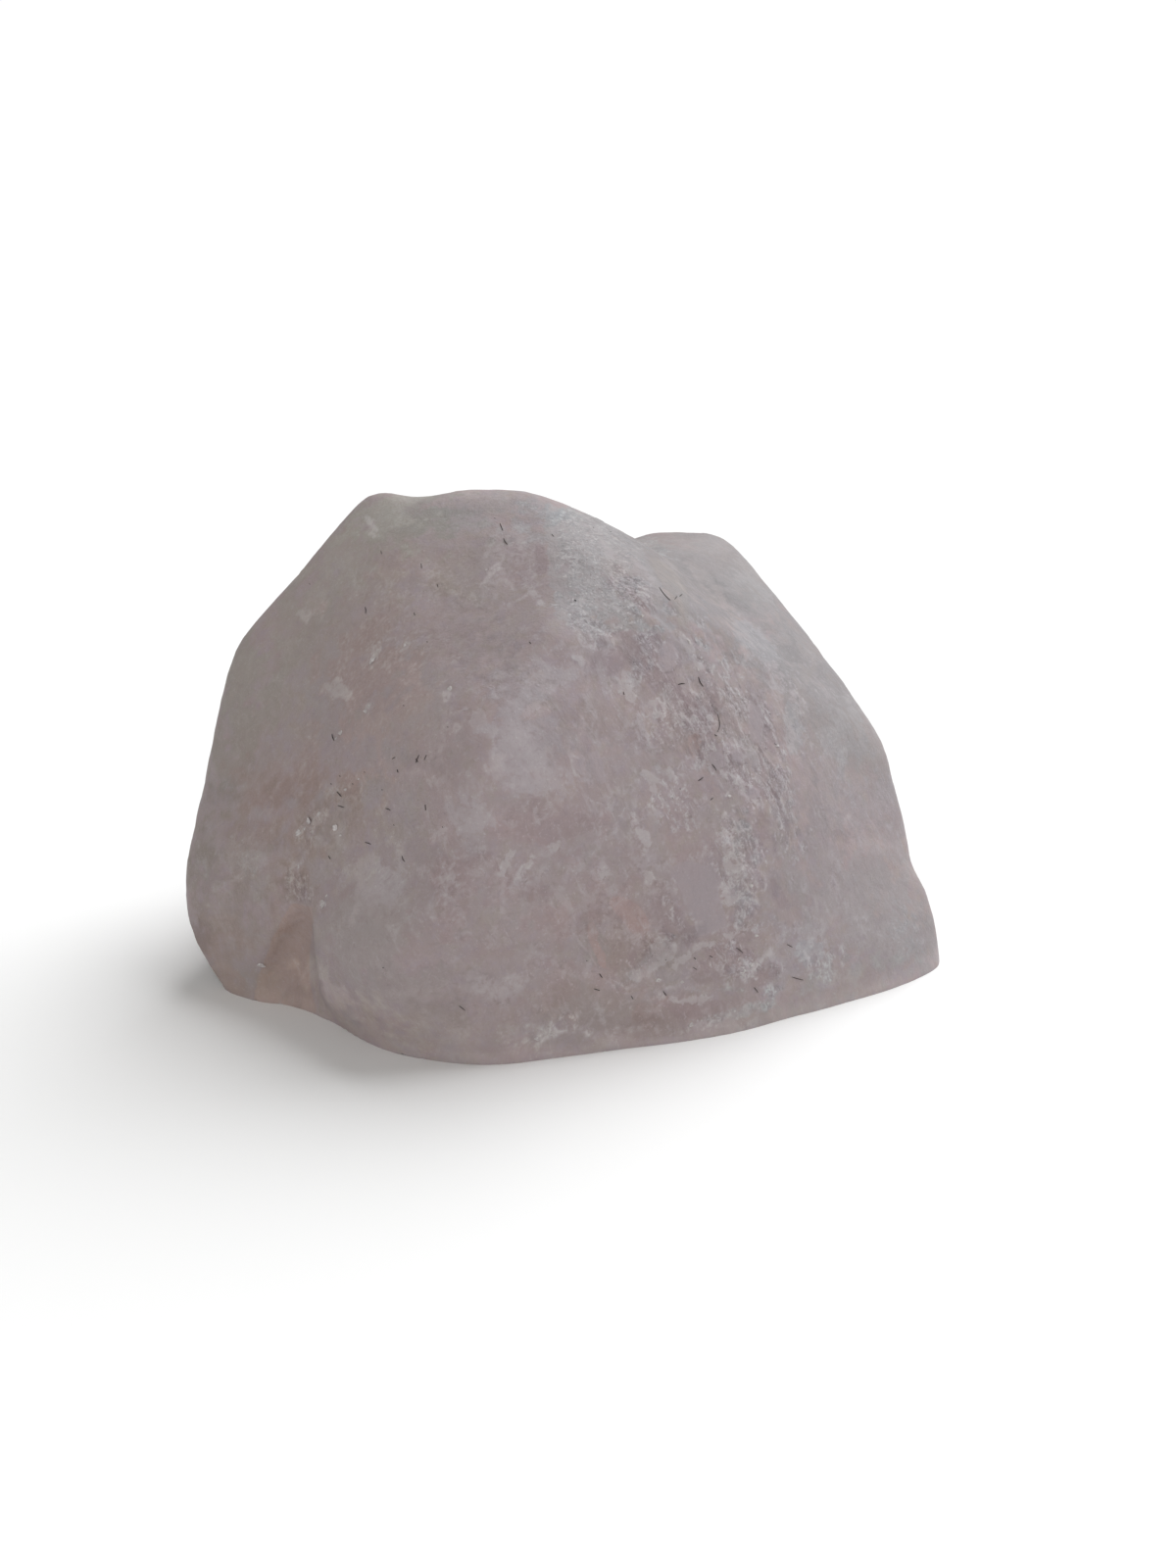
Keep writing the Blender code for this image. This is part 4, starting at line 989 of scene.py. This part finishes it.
# How much the pale and deep marks lighten and darken: partly the stone's tone, partly painted light and
# shade.
PALER_AND_LIT, DEEPER_AND_SHADED = 0.26, 0.24
FLECK = (0.50, 0.47, 0.475)
DEEP = (0.200, 0.154, 0.164)


# %% Patterns of several sizes
GRAIN_LONG, COMBED_LONG, DASH_LONG = 4.6, 8.0, 4.5


def quartz_patterns(tree):
    """Noise and flakes of several sizes in mm, each drawn out the way that it runs on the stone."""
    place = place_in_mm(tree)
    along_grain = TO_GRAIN.inverted().to_euler()
    along = stretched(tree, place, along_grain, GRAIN_LONG)
    sway = add(tree, "ShaderNodeTexNoise", {"Vector": place, "Scale": 0.3, "Detail": 2.0}).outputs["Color"]
    sway = add(tree, "ShaderNodeVectorMath", {0: sway, "Scale": 1.6}, operation="SCALE").outputs[0]
    swayed = add(tree, "ShaderNodeVectorMath", {0: place, 1: sway}).outputs[0]
    combed = stretched(tree, swayed, along_grain, COMBED_LONG)
    upright = stretched(tree, swayed, (0.0, math.radians(-8.0), 0.0), DASH_LONG)
    return {
        "clouds": cloud(tree, place, 9.0, 3.0, 0.55, 0.6), "drifts": cloud(tree, place, 3.6, 3.0, 0.6, 0.8),
        "curds": cloud(tree, place, 1.5, 4.0, 0.55, 0.8), "tinge": cloud(tree, place, 1.1, 4.0, 0.65, 0.4),
        "crumbs": cloud(tree, place, 0.55, 3.0, 0.6, 0.5), "specks": cloud(tree, place, 0.19, 1.0, 0.5),
        "veils": cloud(tree, along, 0.8, 4.0, 0.6, 0.6), "dashes": cloud(tree, upright, 0.28, 2.0, 0.55),
        "combing": cloud(tree, combed, 0.19, 3.0, 0.7), "coarse": flakes(tree, along, 0.55),
        "fine": flakes(tree, along, 0.24), "crumbled": flakes(tree, place, 0.28),
    }


# %% Where each tint shows
def quartz_masks(tree, pattern):
    """How much of each tint shows, with outlines broken by noise; the large tints stay soft."""
    masks = {}
    swing = math_node(tree, "ADD", times(tree, pattern["curds"], 1.6),
                      times(tree, pattern["crumbs"], 2.2))
    swing = math_node(tree, "ADD", swing, times(tree, pattern["veils"], 1.4))
    swing = math_node(tree, "SUBTRACT", swing, 2.6)
    for kind in (*TINTS, *FILTERS, "torn", "fibre", "clots", "pale", "deep"):
        amount = mark(tree, kind)
        if kind in SMOOTH:
            masks[kind] = ramp(tree, amount, -0.1, 1.1)
            continue
        share = 0.35 if kind in SOFT else 1.0
        broken = math_node(tree, "ADD", amount, times(tree, amount, swing, share))
        masks[kind] = ramp(tree, broken, 0.0, 1.1) if kind in SOFT else ramp(tree, broken, 0.15, 1.00)
    masks["whole"] = ramp(tree, mark(tree, "facet"), 0.43, 0.57, 1.0, 0.25)
    for kind in ("torn", "fibre", "clots"):
        masks[kind] = times(tree, masks[kind], masks["whole"])
    return masks


# %% [markdown]
# The colour is laid coat by coat, as a painter would: the body with its wide drifts of warm and cool,
# the tints, the outlined marks, the milk that has clotted inside, the torn plates and fibres, and last
# the crumbs and specks. Each coat is a function that takes the colour so far and gives it back.

# %% Body and tints
def lay_body(tree, pattern, masks):
    """The body between rose and grey, with warm and cool drifts, and the soft tints over it."""
    colour = blend(tree, ramp(tree, pattern["clouds"], 0.38, 0.62), BODY_ROSE, BODY_GREY)
    colour = blend(tree, ramp(tree, pattern["drifts"], 0.34, 0.48, 0.55, 0.0), colour, WARM)
    colour = blend(tree, ramp(tree, pattern["drifts"], 0.52, 0.66, 0.0, 0.55), colour, CHILL)
    colour = blend(tree, ramp(tree, pattern["tinge"], 0.36, 0.48, 0.5, 0.0), colour, STRAW_TINGE)
    colour = blend(tree, ramp(tree, pattern["tinge"], 0.52, 0.64, 0.0, 0.5), colour, MAUVE_TINGE)
    for kind, tint in TINTS.items():
        colour = blend(tree, times(tree, masks[kind], 0.9), colour, tint)
    return colour


def lay_outlines(tree, pattern, colour):
    """The outlined marks, each edge as crisp or as ragged as its kind."""
    ragged = math_node(tree, "ADD", times(tree, pattern["crumbs"], 0.6),
                       times(tree, pattern["veils"], 0.4))
    ragged = math_node(tree, "SUBTRACT", ragged, 0.5)
    for kind, tint in DRAWN_TINTS.items():
        edge = math_node(tree, "ADD", mark(tree, kind), times(tree, ragged, RAGGED.get(kind, 0.35)))
        colour = blend(tree, ramp(tree, edge, 0.43, 0.57, 0.0, DRAWN_SHARE.get(kind, 0.85)), colour, tint)
    return colour


# %% Clotted milk
def lay_clots(tree, pattern, masks, colour):
    """Pale clots and darker gaps inside the stone, and fine upright dashes everywhere."""
    clotted = times(tree, ramp(tree, masks["clots"], 0.0, 1.0, 0.30, 1.0),
                    ramp(tree, masks["lilac"], 0.0, 1.0, 1.0, 0.35),
                    ramp(tree, masks["grey"], 0.2, 0.9, 1.0, 0.35), masks["whole"])
    curdled = math_node(tree, "ADD", times(tree, pattern["curds"], 0.65),
                        times(tree, pattern["crumbs"], 0.35))
    for shows, share, tint in (
            (ramp(tree, curdled, 0.48, 0.64), 0.52, TINTS["milk"]),
            (ramp(tree, curdled, 0.34, 0.48, 1.0, 0.0), 0.60, TINTS["violet"]),
            (ramp(tree, pattern["veils"], 0.52, 0.68), 0.45, TINTS["milk"]),
            (ramp(tree, pattern["crumbs"], 0.30, 0.44, 1.0, 0.0), 0.30, DEEP)):
        colour = blend(tree, times(tree, shows, clotted, share), colour, tint)
    colour = blend(tree, ramp(tree, pattern["dashes"], 0.30, 0.44, 0.09, 0.0), colour, DEEP)
    return blend(tree, ramp(tree, pattern["dashes"], 0.56, 0.72, 0.0, 0.14), colour, TINTS["milk"])


# %% Plates and fibres
def lay_plates(tree, pattern, masks, colour):
    """Each torn plate a little paler or deeper, dark and light lines along the fibres, thin rims in painted
    light.
    """
    plates = mark(tree, "tints")
    torn, fibre, combing = masks["torn"], masks["fibre"], pattern["combing"]
    coarse, fine = pattern["coarse"], pattern["fine"]
    for shows, tint in (
            (ramp(tree, plates, -0.10, -0.55, 0.0, 0.45), TINTS["violet"]),
            (ramp(tree, plates, 0.15, 0.60, 0.0, 0.45), TINTS["milk"]),
            (times(tree, torn, ramp(tree, coarse["Tint"], 0.3, 0.9, 0.0, 0.26)), TINTS["violet"]),
            (times(tree, fibre, ramp(tree, combing, 0.34, 0.48, 0.50, 0.0)), DEEP),
            (times(tree, fibre, ramp(tree, combing, 0.54, 0.68, 0.0, 0.65)), TINTS["milk"]),
            # Painted light: plate rims and flake edges are painted pale for the light that comes through
            # thin quartz.
            (times(tree, mark(tree, "rims"), ramp(tree, pattern["crumbs"], 0.36, 0.56), 0.75), FLECK),
            (times(tree, coarse["Edge"], ramp(tree, fine["Tint"], 0.45, 0.9), torn, 0.38), FLECK)):
        colour = blend(tree, shows, colour, tint)
    return colour


# %% Specks, veils and lightness
def lay_specks(tree, pattern, masks, colour):
    """White and dark specks where the skin is frosted, torn or clotted."""
    crusty = math_node(tree, "MAXIMUM", masks["frost"], times(tree, masks["torn"], 0.7))
    crusty = math_node(tree, "MAXIMUM", crusty, times(tree, masks["clots"], 0.40))
    crusty = math_node(tree, "MAXIMUM", crusty, 0.22)
    white = ramp(tree, pattern["specks"], 0.60, 0.76)
    dark = ramp(tree, pattern["specks"], 0.24, 0.36, 1.0, 0.0)
    colour = blend(tree, times(tree, white, crusty, 0.75), colour, FLECK)
    return blend(tree, times(tree, dark, crusty, 0.60), colour, DEEP)


def lay_veils(tree, masks, colour):
    """Thin veils of colour over the rest, and the paler and deeper places, partly painted light and shade.
    """
    for kind, tint in FILTERS.items():
        colour = blend(tree, masks[kind], colour, tint, "MULTIPLY")
    tone_and_painted_light = math_node(tree, "ADD", times(tree, masks["pale"], PALER_AND_LIT),
                          times(tree, masks["deep"], -DEEPER_AND_SHADED))
    lightness = math_node(tree, "ADD", tone_and_painted_light, 1.0)
    return add(tree, "ShaderNodeVectorMath", {0: colour, "Scale": lightness}, operation="SCALE").outputs[0]


# %% Gloss and the finest relief
def quartz_roughness(tree, pattern, masks):
    """Dull as a broken skin is, with a glint on single torn flakes and a faint polish on the lilac places.
    """
    dull = ramp(tree, pattern["crumbs"], 0.3, 0.7, 0.52, 0.64)
    glint = times(tree, masks["torn"], ramp(tree, pattern["fine"]["Tint"], 0.80, 0.90, 0.0, 0.22))
    polish = times(tree, masks["lilac"], 0.10)
    return math_node(tree, "SUBTRACT", dull, math_node(tree, "ADD", glint, polish), clamp=True)


def quartz_height(tree, pattern, masks):
    """Height in mm of what is too fine for the net."""
    torn, frost = masks["torn"], masks["frost"]
    height = times(tree, pattern["curds"], 0.08)
    for part in (
            times(tree, pattern["crumbs"], 0.035), times(tree, pattern["specks"], 0.014),
            times(tree, pattern["dashes"], 0.020), times(tree, pattern["combing"], masks["fibre"], 0.055),
            times(tree, pattern["coarse"]["Height"], torn, 0.24),
            times(tree, pattern["fine"]["Height"], ramp(tree, torn, 0.0, 1.0, 0.08, 0.30)),
            times(tree, pattern["crumbled"]["Height"], ramp(tree, frost, 0.0, 1.0, 0.05, 0.32))):
        height = math_node(tree, "ADD", height, part)
    return height


# %% Milky quartz
def new_material(name):
    """An empty material and its tree of nodes."""
    material = bpy.data.materials.new(name)
    material.use_nodes = True
    material.node_tree.nodes.clear()
    return material, material.node_tree


def make_quartz():
    material, tree = new_material("milky_quartz")
    pattern = quartz_patterns(tree)
    masks = quartz_masks(tree, pattern)
    colour = lay_body(tree, pattern, masks)
    colour = lay_outlines(tree, pattern, colour)
    colour = lay_clots(tree, pattern, masks, colour)
    colour = lay_plates(tree, pattern, masks, colour)
    colour = lay_specks(tree, pattern, masks, colour)
    colour = lay_veils(tree, masks, colour)
    roughness = quartz_roughness(tree, pattern, masks)
    bump = add(tree, "ShaderNodeBump", {"Height": quartz_height(tree, pattern, masks), "Strength": 1.0,
                                        "Distance": MM})
    shader = add(tree, "ShaderNodeBsdfPrincipled", {
        "Base Color": colour, "Roughness": roughness, "Normal": bump.outputs["Normal"], "IOR": 1.54,
        "Specular IOR Level": 0.12, "Subsurface Weight": 0.2, "Subsurface Radius": (1.0, 0.8, 0.75),
        "Subsurface Scale": 1.0 * MM})
    out = add(tree, "ShaderNodeOutputMaterial")
    tree.links.new(shader.outputs[0], out.inputs["Surface"])
    print(material.name, "has", len(tree.nodes), "nodes")
    return material


stone.data.materials.append(make_quartz())


# %% [markdown]
# ## Glassy chips
# Here and there a sliver of clear quartz still hangs on the skin and catches the light; its pale colour
# is a painted glint, bright from every side. One chip is a small flattened twelve-sided stone with its
# points pushed about. Five such shapes are modelled, and copies of them are laid on the skin, each with
# its own size and turn, half sunk in.

# %% Model five chips
random.seed(11)
CHIP_SHAPES = 5


def model_chip(number):
    """One angular chip, 1 mm long, round the origin."""
    bpy.ops.object.select_all(action="DESELECT")
    bpy.ops.mesh.primitive_ico_sphere_add(subdivisions=1, radius=0.5 * MM)
    chip = bpy.context.active_object
    chip.name = f"chip_{number}"
    bpy.ops.object.mode_set(mode="EDIT")
    bpy.ops.mesh.select_all(action="SELECT")
    bpy.ops.transform.vertex_random(offset=0.26 * MM, uniform=1.0, normal=0.0, seed=number)
    bpy.ops.transform.resize(value=(1.0, 0.60, 0.16))
    bpy.ops.object.mode_set(mode="OBJECT")
    return chip


chips = [model_chip(number) for number in range(CHIP_SHAPES)]
print("chip shapes:", [len(chip.data.polygons) for chip in chips], "faces")

# %% Where chips lie: picture place, length in mm, turn in the picture in degrees
CHIPS = [
    (380, 674, 0.50, -60), (384, 665, 0.65, -55), (390, 658, 0.40, -50), (413, 659, 0.35, -50),
    (376, 721, 0.45, -70), (373, 726, 0.30, 10), (458, 706, 0.55, -75), (461, 699, 0.35, -70),
    (347, 748, 0.45, 20), (343, 753, 0.35, -40), (315, 838, 0.60, -35), (322, 834, 0.75, -40),
    (326, 841, 0.55, -30), (304, 850, 0.55, -40), (311, 845, 0.40, -60), (342, 845, 0.50, -70),
    (349, 851, 0.35, -30), (306, 881, 0.60, -30), (329, 923, 0.60, -60), (333, 914, 0.35, -50),
    (267, 985, 0.45, -10), (766, 901, 0.45, 80), (762, 988, 0.55, 60), (766, 984, 0.40, 50),
    (771, 954, 0.40, 50), (758, 994, 0.35, 30), (792, 760, 0.30, 40), (640, 606, 0.30, 50),
    (655, 628, 0.30, 45), (713, 684, 0.35, 60), (703, 655, 0.30, 50), (752, 848, 0.35, 80),
    (742, 872, 0.40, 90), (705, 1046, 0.40, -20), (562, 1056, 0.35, -10), (548, 1060, 0.30, 0),
    (497, 580, 0.35, -45), (520, 546, 0.30, -50), (352, 806, 0.30, 40), (366, 795, 0.25, 30),
    (672, 1000, 0.30, -30), (694, 1002, 0.35, 0), (812, 980, 0.35, -20), (744, 812, 0.30, 60),
]


def lay_chip(number, place, normal, length, pointing):
    """A copy of a chip, half sunk in the skin, its long side along a direction on the skin."""
    shape = chips[number % CHIP_SHAPES]
    side = normal.cross(pointing).normalized()
    turn = Matrix((side.cross(normal), side, normal)).transposed().to_4x4()
    tilt = Matrix.Rotation(math.radians(random.uniform(-22.0, 22.0)), 4, "Y")
    copy = bpy.data.objects.new(f"chip_copy_{number}", shape.data.copy())
    bpy.context.scene.collection.objects.link(copy)
    sunk = place + normal * 0.03 * length * MM
    copy.data.transform(Matrix.Translation(sunk) @ turn @ tilt @ Matrix.Scale(length, 4))
    return copy


def join(pieces, name):
    """Joins pieces into one and names it."""
    bpy.ops.object.select_all(action="DESELECT")
    for piece in pieces:
        piece.select_set(True)
    bpy.context.view_layer.objects.active = pieces[0]
    if len(pieces) > 1:
        bpy.ops.object.join()
    pieces[0].name = name
    return pieces[0]


# %% Lay the chips
HIDDEN_CHIPS = 46
CHIP_SIZE = 1.35
tree = net_tree()


def picture_direction(u, v, turn, place, normal):
    """A direction on the skin that points a given way in the picture."""
    step = 6.0
    other = ray_through(u + step * math.cos(math.radians(turn)), v + step * math.sin(math.radians(turn)))
    reach = (place - CAMERA_AT).dot(normal) / other.dot(normal)
    return (CAMERA_AT + other * reach - place).normalized()


def hidden_points(count, seed):
    """Points on the sides that the camera doesn't see, more of them where the skin is torn."""
    random.seed(seed)
    places, normals = skin_arrays()
    tears = painted("torn")
    shown = facing(places, normals)
    found = []
    while len(found) < count:
        i = random.randrange(len(places))
        if shown[i] < -0.05 and places[i][2] > 1.5 * MM and random.random() < 0.15 + tears[i]:
            found.append((Vector(places[i]), Vector(normals[i])))
    return found


def any_direction():
    """A random direction in space."""
    return Vector((random.uniform(-1, 1), random.uniform(-1, 1), random.uniform(-1, 1)))


laid = []
for number, (u, v, length, turn) in enumerate(CHIPS):
    place, normal = skin_at(tree, u, v)
    if place is not None and place.z > 0.8 * MM:
        pointing = picture_direction(u, v, turn, place, normal)
        laid.append(lay_chip(number, place, normal, CHIP_SIZE * length, pointing))
for number, (place, normal) in enumerate(hidden_points(HIDDEN_CHIPS, 5)):
    pointing = any_direction()
    laid.append(lay_chip(number, place, normal, random.uniform(0.3, 0.6), pointing))
chip_piece = join(laid, "glassy_chips")
for shape in chips:
    bpy.data.objects.remove(shape)
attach(chip_piece, "root")
print(len(laid), "chips,", len(chip_piece.data.polygons), "faces")


# %% Glassy quartz
def make_glassy_painted_glint():
    material, tree = new_material("glassy_chip_painted_glint")
    place = place_in_mm(tree)
    pattern = flakes(tree, place, 0.22)
    tone = cloud(tree, place, 0.25, 2.0, 0.6)
    # Painted glint: the chip's colour, paler still at its flake edges, stands in for the light it mirrors.
    colour = blend(tree, ramp(tree, tone, 0.35, 0.65), (0.36, 0.32, 0.32), (0.50, 0.465, 0.46))
    colour = blend(tree, times(tree, pattern["Edge"], 0.35), colour, (0.60, 0.575, 0.57))
    bump = add(tree, "ShaderNodeBump", {"Height": pattern["Height"], "Strength": 0.5, "Distance": MM})
    shader = add(tree, "ShaderNodeBsdfPrincipled", {
        "Base Color": colour, "Roughness": ramp(tree, pattern["Tint"], 0.0, 1.0, 0.12, 0.30),
        "Normal": bump.outputs["Normal"], "IOR": 1.54, "Subsurface Weight": 0.2,
        "Subsurface Radius": (1.0, 0.9, 0.85), "Subsurface Scale": 0.4 * MM})
    out = add(tree, "ShaderNodeOutputMaterial")
    tree.links.new(shader.outputs[0], out.inputs["Surface"])
    return material


chip_piece.data.materials.clear()
chip_piece.data.materials.append(make_glassy_painted_glint())


# %% [markdown]
# ## Lint
# A stone that has been carried about has short dark fibres on it, 0.3 to 1.5 mm long. They cling to the
# rough places. Each one is a path laid from point to point over the skin, thickened to a round fibre
# and turned into a mesh. A fibre touches the skin where it starts and rises a little in between.

# %% Where fibres lie: points along each one in the picture
LINT = [
    [(672.7, 599.3), (676, 605), (679.3, 609.3), (684, 612.5)], [(688.5, 611.5), (691, 608.5)],
    [(693.5, 608.5), (696, 606.5)], [(712.7, 691), (714.2, 697), (717.5, 700.5)],
    [(692, 698.6), (695, 697.4), (698.5, 697.6)],
    [(732.3, 728.7), (733, 734), (735.6, 738.5), (734.2, 744), (731.8, 747)], [(729, 749.6), (731.6, 751)],
    [(790, 758.6), (794.4, 762.4)], [(726.4, 780), (729, 782.5), (731, 786.4)],
    [(712.4, 796.6), (715, 795.4), (717.4, 793)], [(725, 816.4), (727.4, 814)],
    [(372.6, 619.5), (373.8, 622.5), (373, 626)], [(429.8, 575), (430.2, 580)],
    [(388.8, 562), (389.4, 565.6)], [(446, 596), (447, 599)], [(422.6, 625), (423.2, 628)],
    [(510.2, 534), (511.6, 538), (513.2, 541.5)], [(514, 549.5), (515, 553), (517.8, 555.6)],
    [(427.8, 770.4), (426, 774), (424.4, 778.4)], [(435.2, 770.4), (433, 775.6)],
    [(400.4, 774.4), (403.2, 772.6)], [(405.4, 785.4), (406.2, 788.4)],
    [(339, 749), (339.6, 752.5), (341, 755.8)], [(344, 808), (346, 810), (348.4, 813)],
    [(393.4, 825), (396, 825.4), (398.4, 826.8)], [(372.6, 859.6), (375.6, 860.2), (378.6, 861.6)],
    [(335.2, 873.4), (337.2, 876.6)], [(410.2, 873.4), (411, 877), (413.2, 879.4)],
    [(468.6, 1026.4), (471, 1028), (474.6, 1031)], [(424.4, 774.4), (426.4, 777.6)],
    [(769.4, 1007.6), (771, 1009.6), (773.4, 1012.6)], [(808, 996.8), (813, 998.6), (819.6, 1000)],
    [(803, 963.6), (808.4, 966.4)], [(676.6, 1011.4), (680, 1016)], [(611.6, 993.6), (614.4, 997.6)],
    [(751, 967), (755, 969.4), (758, 972.4)], [(707, 987), (711, 989.4)], [(708, 977), (710, 979)],
    [(724, 975), (727, 977)], [(636, 706), (637, 709)], [(563, 545), (565, 547.6)],
    [(434, 821), (434.4, 827)], [(345, 822), (351, 824)], [(606, 1009), (612, 1010.6)],
    [(644, 1016), (646, 1019.6)], [(540, 655), (542, 657)], [(586, 612), (588, 613.4)],
]
DOTS = [(718, 635), (679.5, 979.6), (451.6, 844), (391, 987.5), (786, 728.7), (646.7, 676), (623, 542.7),
        (605.7, 538.3), (598.7, 980.5), (694, 805), (686, 814), (505, 529), (347, 792), (360, 800),
        (372, 788), (338, 800), (390, 806), (402, 842), (316, 596), (436, 655), (457, 742), (412, 720)]
FIBRE_THICK = 0.066


def lay_fibre(points, thick, name):
    """A round fibre along points in space, thickest in the middle, as a mesh."""
    bpy.ops.object.select_all(action="DESELECT")
    bpy.ops.curve.primitive_nurbs_path_add(radius=1.0 * MM)
    fibre = bpy.context.active_object
    fibre.name = name
    path = fibre.data.splines[0]
    if len(points) > len(path.points):
        path.points.add(len(points) - len(path.points))
    for i, point in enumerate(path.points):
        t = i / (len(path.points) - 1) * (len(points) - 1)
        low = min(int(t), len(points) - 2)
        spot = points[low].lerp(points[low + 1], t - low)
        point.co = (*spot, 1.0)
        point.radius = 1.0 if 0 < i < len(path.points) - 1 else 0.6
    path.resolution_u, path.use_endpoint_u = 2, True
    fibre.data.bevel_depth, fibre.data.bevel_resolution = 0.5 * thick * MM, 1
    fibre.data.use_fill_caps = True
    bpy.ops.object.convert(target="MESH")
    return fibre


# %% Lay the fibres
HIDDEN_LINT = 30


def over_skin(points, rise):
    """Points of the picture as points just over the skin, higher in between than at the ends."""
    found = []
    for i, (u, v) in enumerate(points):
        place, normal = skin_at(tree, u, v)
        if place is None:
            return None
        lift = 0.012 + (rise if 0 < i < len(points) - 1 else 0.0)
        found.append(place + normal * lift * MM)
    return found


fibres = []
for points in LINT + [[(u - 0.5, v - 0.3), (u + 0.5, v + 0.3)] for u, v in DOTS]:
    laid_points = over_skin(points, 0.03)
    if laid_points and min(p.z for p in laid_points) > 0.3 * MM:
        thick = FIBRE_THICK * random.uniform(0.9, 1.3) * (1.0 if points in LINT else 0.8)
        fibres.append(lay_fibre(laid_points, thick, f"fibre_{len(fibres)}"))
for place, normal in hidden_points(HIDDEN_LINT, 9):
    pointing = normal.cross(any_direction()).normalized()
    side, length, bend = normal.cross(pointing), random.uniform(0.25, 0.9), random.uniform(-0.25, 0.25)
    run = []
    for t in (-0.5, -0.17, 0.17, 0.5):
        spot = place + (pointing * t + side * bend * (0.25 - t * t) * 4.0) * length * MM
        foot, up, _, _ = tree.find_nearest(spot)
        run.append(foot + up * 0.03 * MM)
    fibres.append(lay_fibre(run, FIBRE_THICK * random.uniform(1.0, 1.5), f"fibre_{len(fibres)}"))
lint = join(fibres, "lint")
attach(lint, "root")
print(len(fibres), "fibres,", len(lint.data.polygons), "faces, object at", lint.location[:])


# %% Dark fibre
def make_lint():
    material, tree = new_material("dark_lint")
    place = place_in_mm(tree)
    tone = cloud(tree, place, 2.5, 2.0)
    grain = cloud(tree, place, 0.05, 2.0, 0.6)
    colour = blend(tree, ramp(tree, tone, 0.4, 0.6), (0.030, 0.024, 0.024), (0.075, 0.062, 0.060))
    bump = add(tree, "ShaderNodeBump", {"Height": times(tree, grain, 0.01), "Strength": 1.0, "Distance": MM})
    shader = add(tree, "ShaderNodeBsdfPrincipled", {
        "Base Color": colour, "Roughness": ramp(tree, grain, 0.3, 0.7, 0.7, 0.9),
        "Normal": bump.outputs["Normal"], "Specular IOR Level": 0.3})
    out = add(tree, "ShaderNodeOutputMaterial")
    tree.links.new(shader.outputs[0], out.inputs["Surface"])
    return material


lint.data.materials.clear()
lint.data.materials.append(make_lint())


# %% [markdown]
# ## Floor and light
# The stone stands on a plain, nearly white floor. Its shading in daylight tells where the light was:
# a large soft source high up behind the right shoulder of the stone, a weaker one behind the camera,
# and a pale room all round. A sun lamp with a wide angle is such a soft source, and it lights the whole
# floor evenly. The room is a plain world colour; where the camera looks straight at it, it is white.

# %% Floor
bpy.ops.object.select_all(action="DESELECT")
bpy.ops.mesh.primitive_circle_add(vertices=96, radius=6.0, fill_type="NGON")
floor = bpy.context.active_object
floor.name = "floor"
floor_material = bpy.data.materials.new("pale_floor")
floor_material.use_nodes = True
floor_shader = floor_material.node_tree.nodes["Principled BSDF"]
floor_shader.inputs["Base Color"].default_value = (0.87, 0.87, 0.87, 1.0)
floor_shader.inputs["Roughness"].default_value = 0.95
floor_shader.inputs["Specular IOR Level"].default_value = 0.2
floor.data.materials.append(floor_material)

# %% Room
ROOM_LIGHT = 0.333

world = bpy.data.worlds.new("room")
world.use_nodes = True
room = world.node_tree
room.nodes.clear()
lit = add(room, "ShaderNodeBackground", {"Color": (1.01, 1.0, 0.97, 1.0), "Strength": ROOM_LIGHT})
seen = add(room, "ShaderNodeBackground", {"Color": (1.0, 1.0, 1.0, 1.0), "Strength": 1.02})
rays = add(room, "ShaderNodeLightPath")
mixed = add(room, "ShaderNodeMixShader",
            {0: rays.outputs["Is Camera Ray"], 1: lit.outputs[0], 2: seen.outputs[0]})
add(room, "ShaderNodeOutputWorld", {"Surface": mixed.outputs[0]})
bpy.context.scene.world = world


# %% Lamps
SUN_WIDE = math.radians(60.0)


def soft_sun(name, turn, height, share, colour):
    """A soft distant light: its turn round the stone from the camera's side, its height in degrees,
    and its share of a full white."""
    turn, height = math.radians(turn), math.radians(height)
    across = math.cos(height)
    towards = Vector((math.sin(turn) * across, -math.cos(turn) * across, math.sin(height)))
    data = bpy.data.lights.new(name, "SUN")
    data.angle, data.energy, data.color = SUN_WIDE, math.pi * share, colour
    lamp = bpy.data.objects.new(name, data)
    lamp.rotation_euler = towards.to_track_quat("Z", "Y").to_euler()
    bpy.context.scene.collection.objects.link(lamp)


soft_sun("window", 135.0, 50.0, 1.014, (0.99, 1.0, 1.012))
soft_sun("fill", 0.0, 20.0, 0.302, (1.01, 1.0, 0.98))
bpy.context.scene.view_settings.view_transform = "Standard"
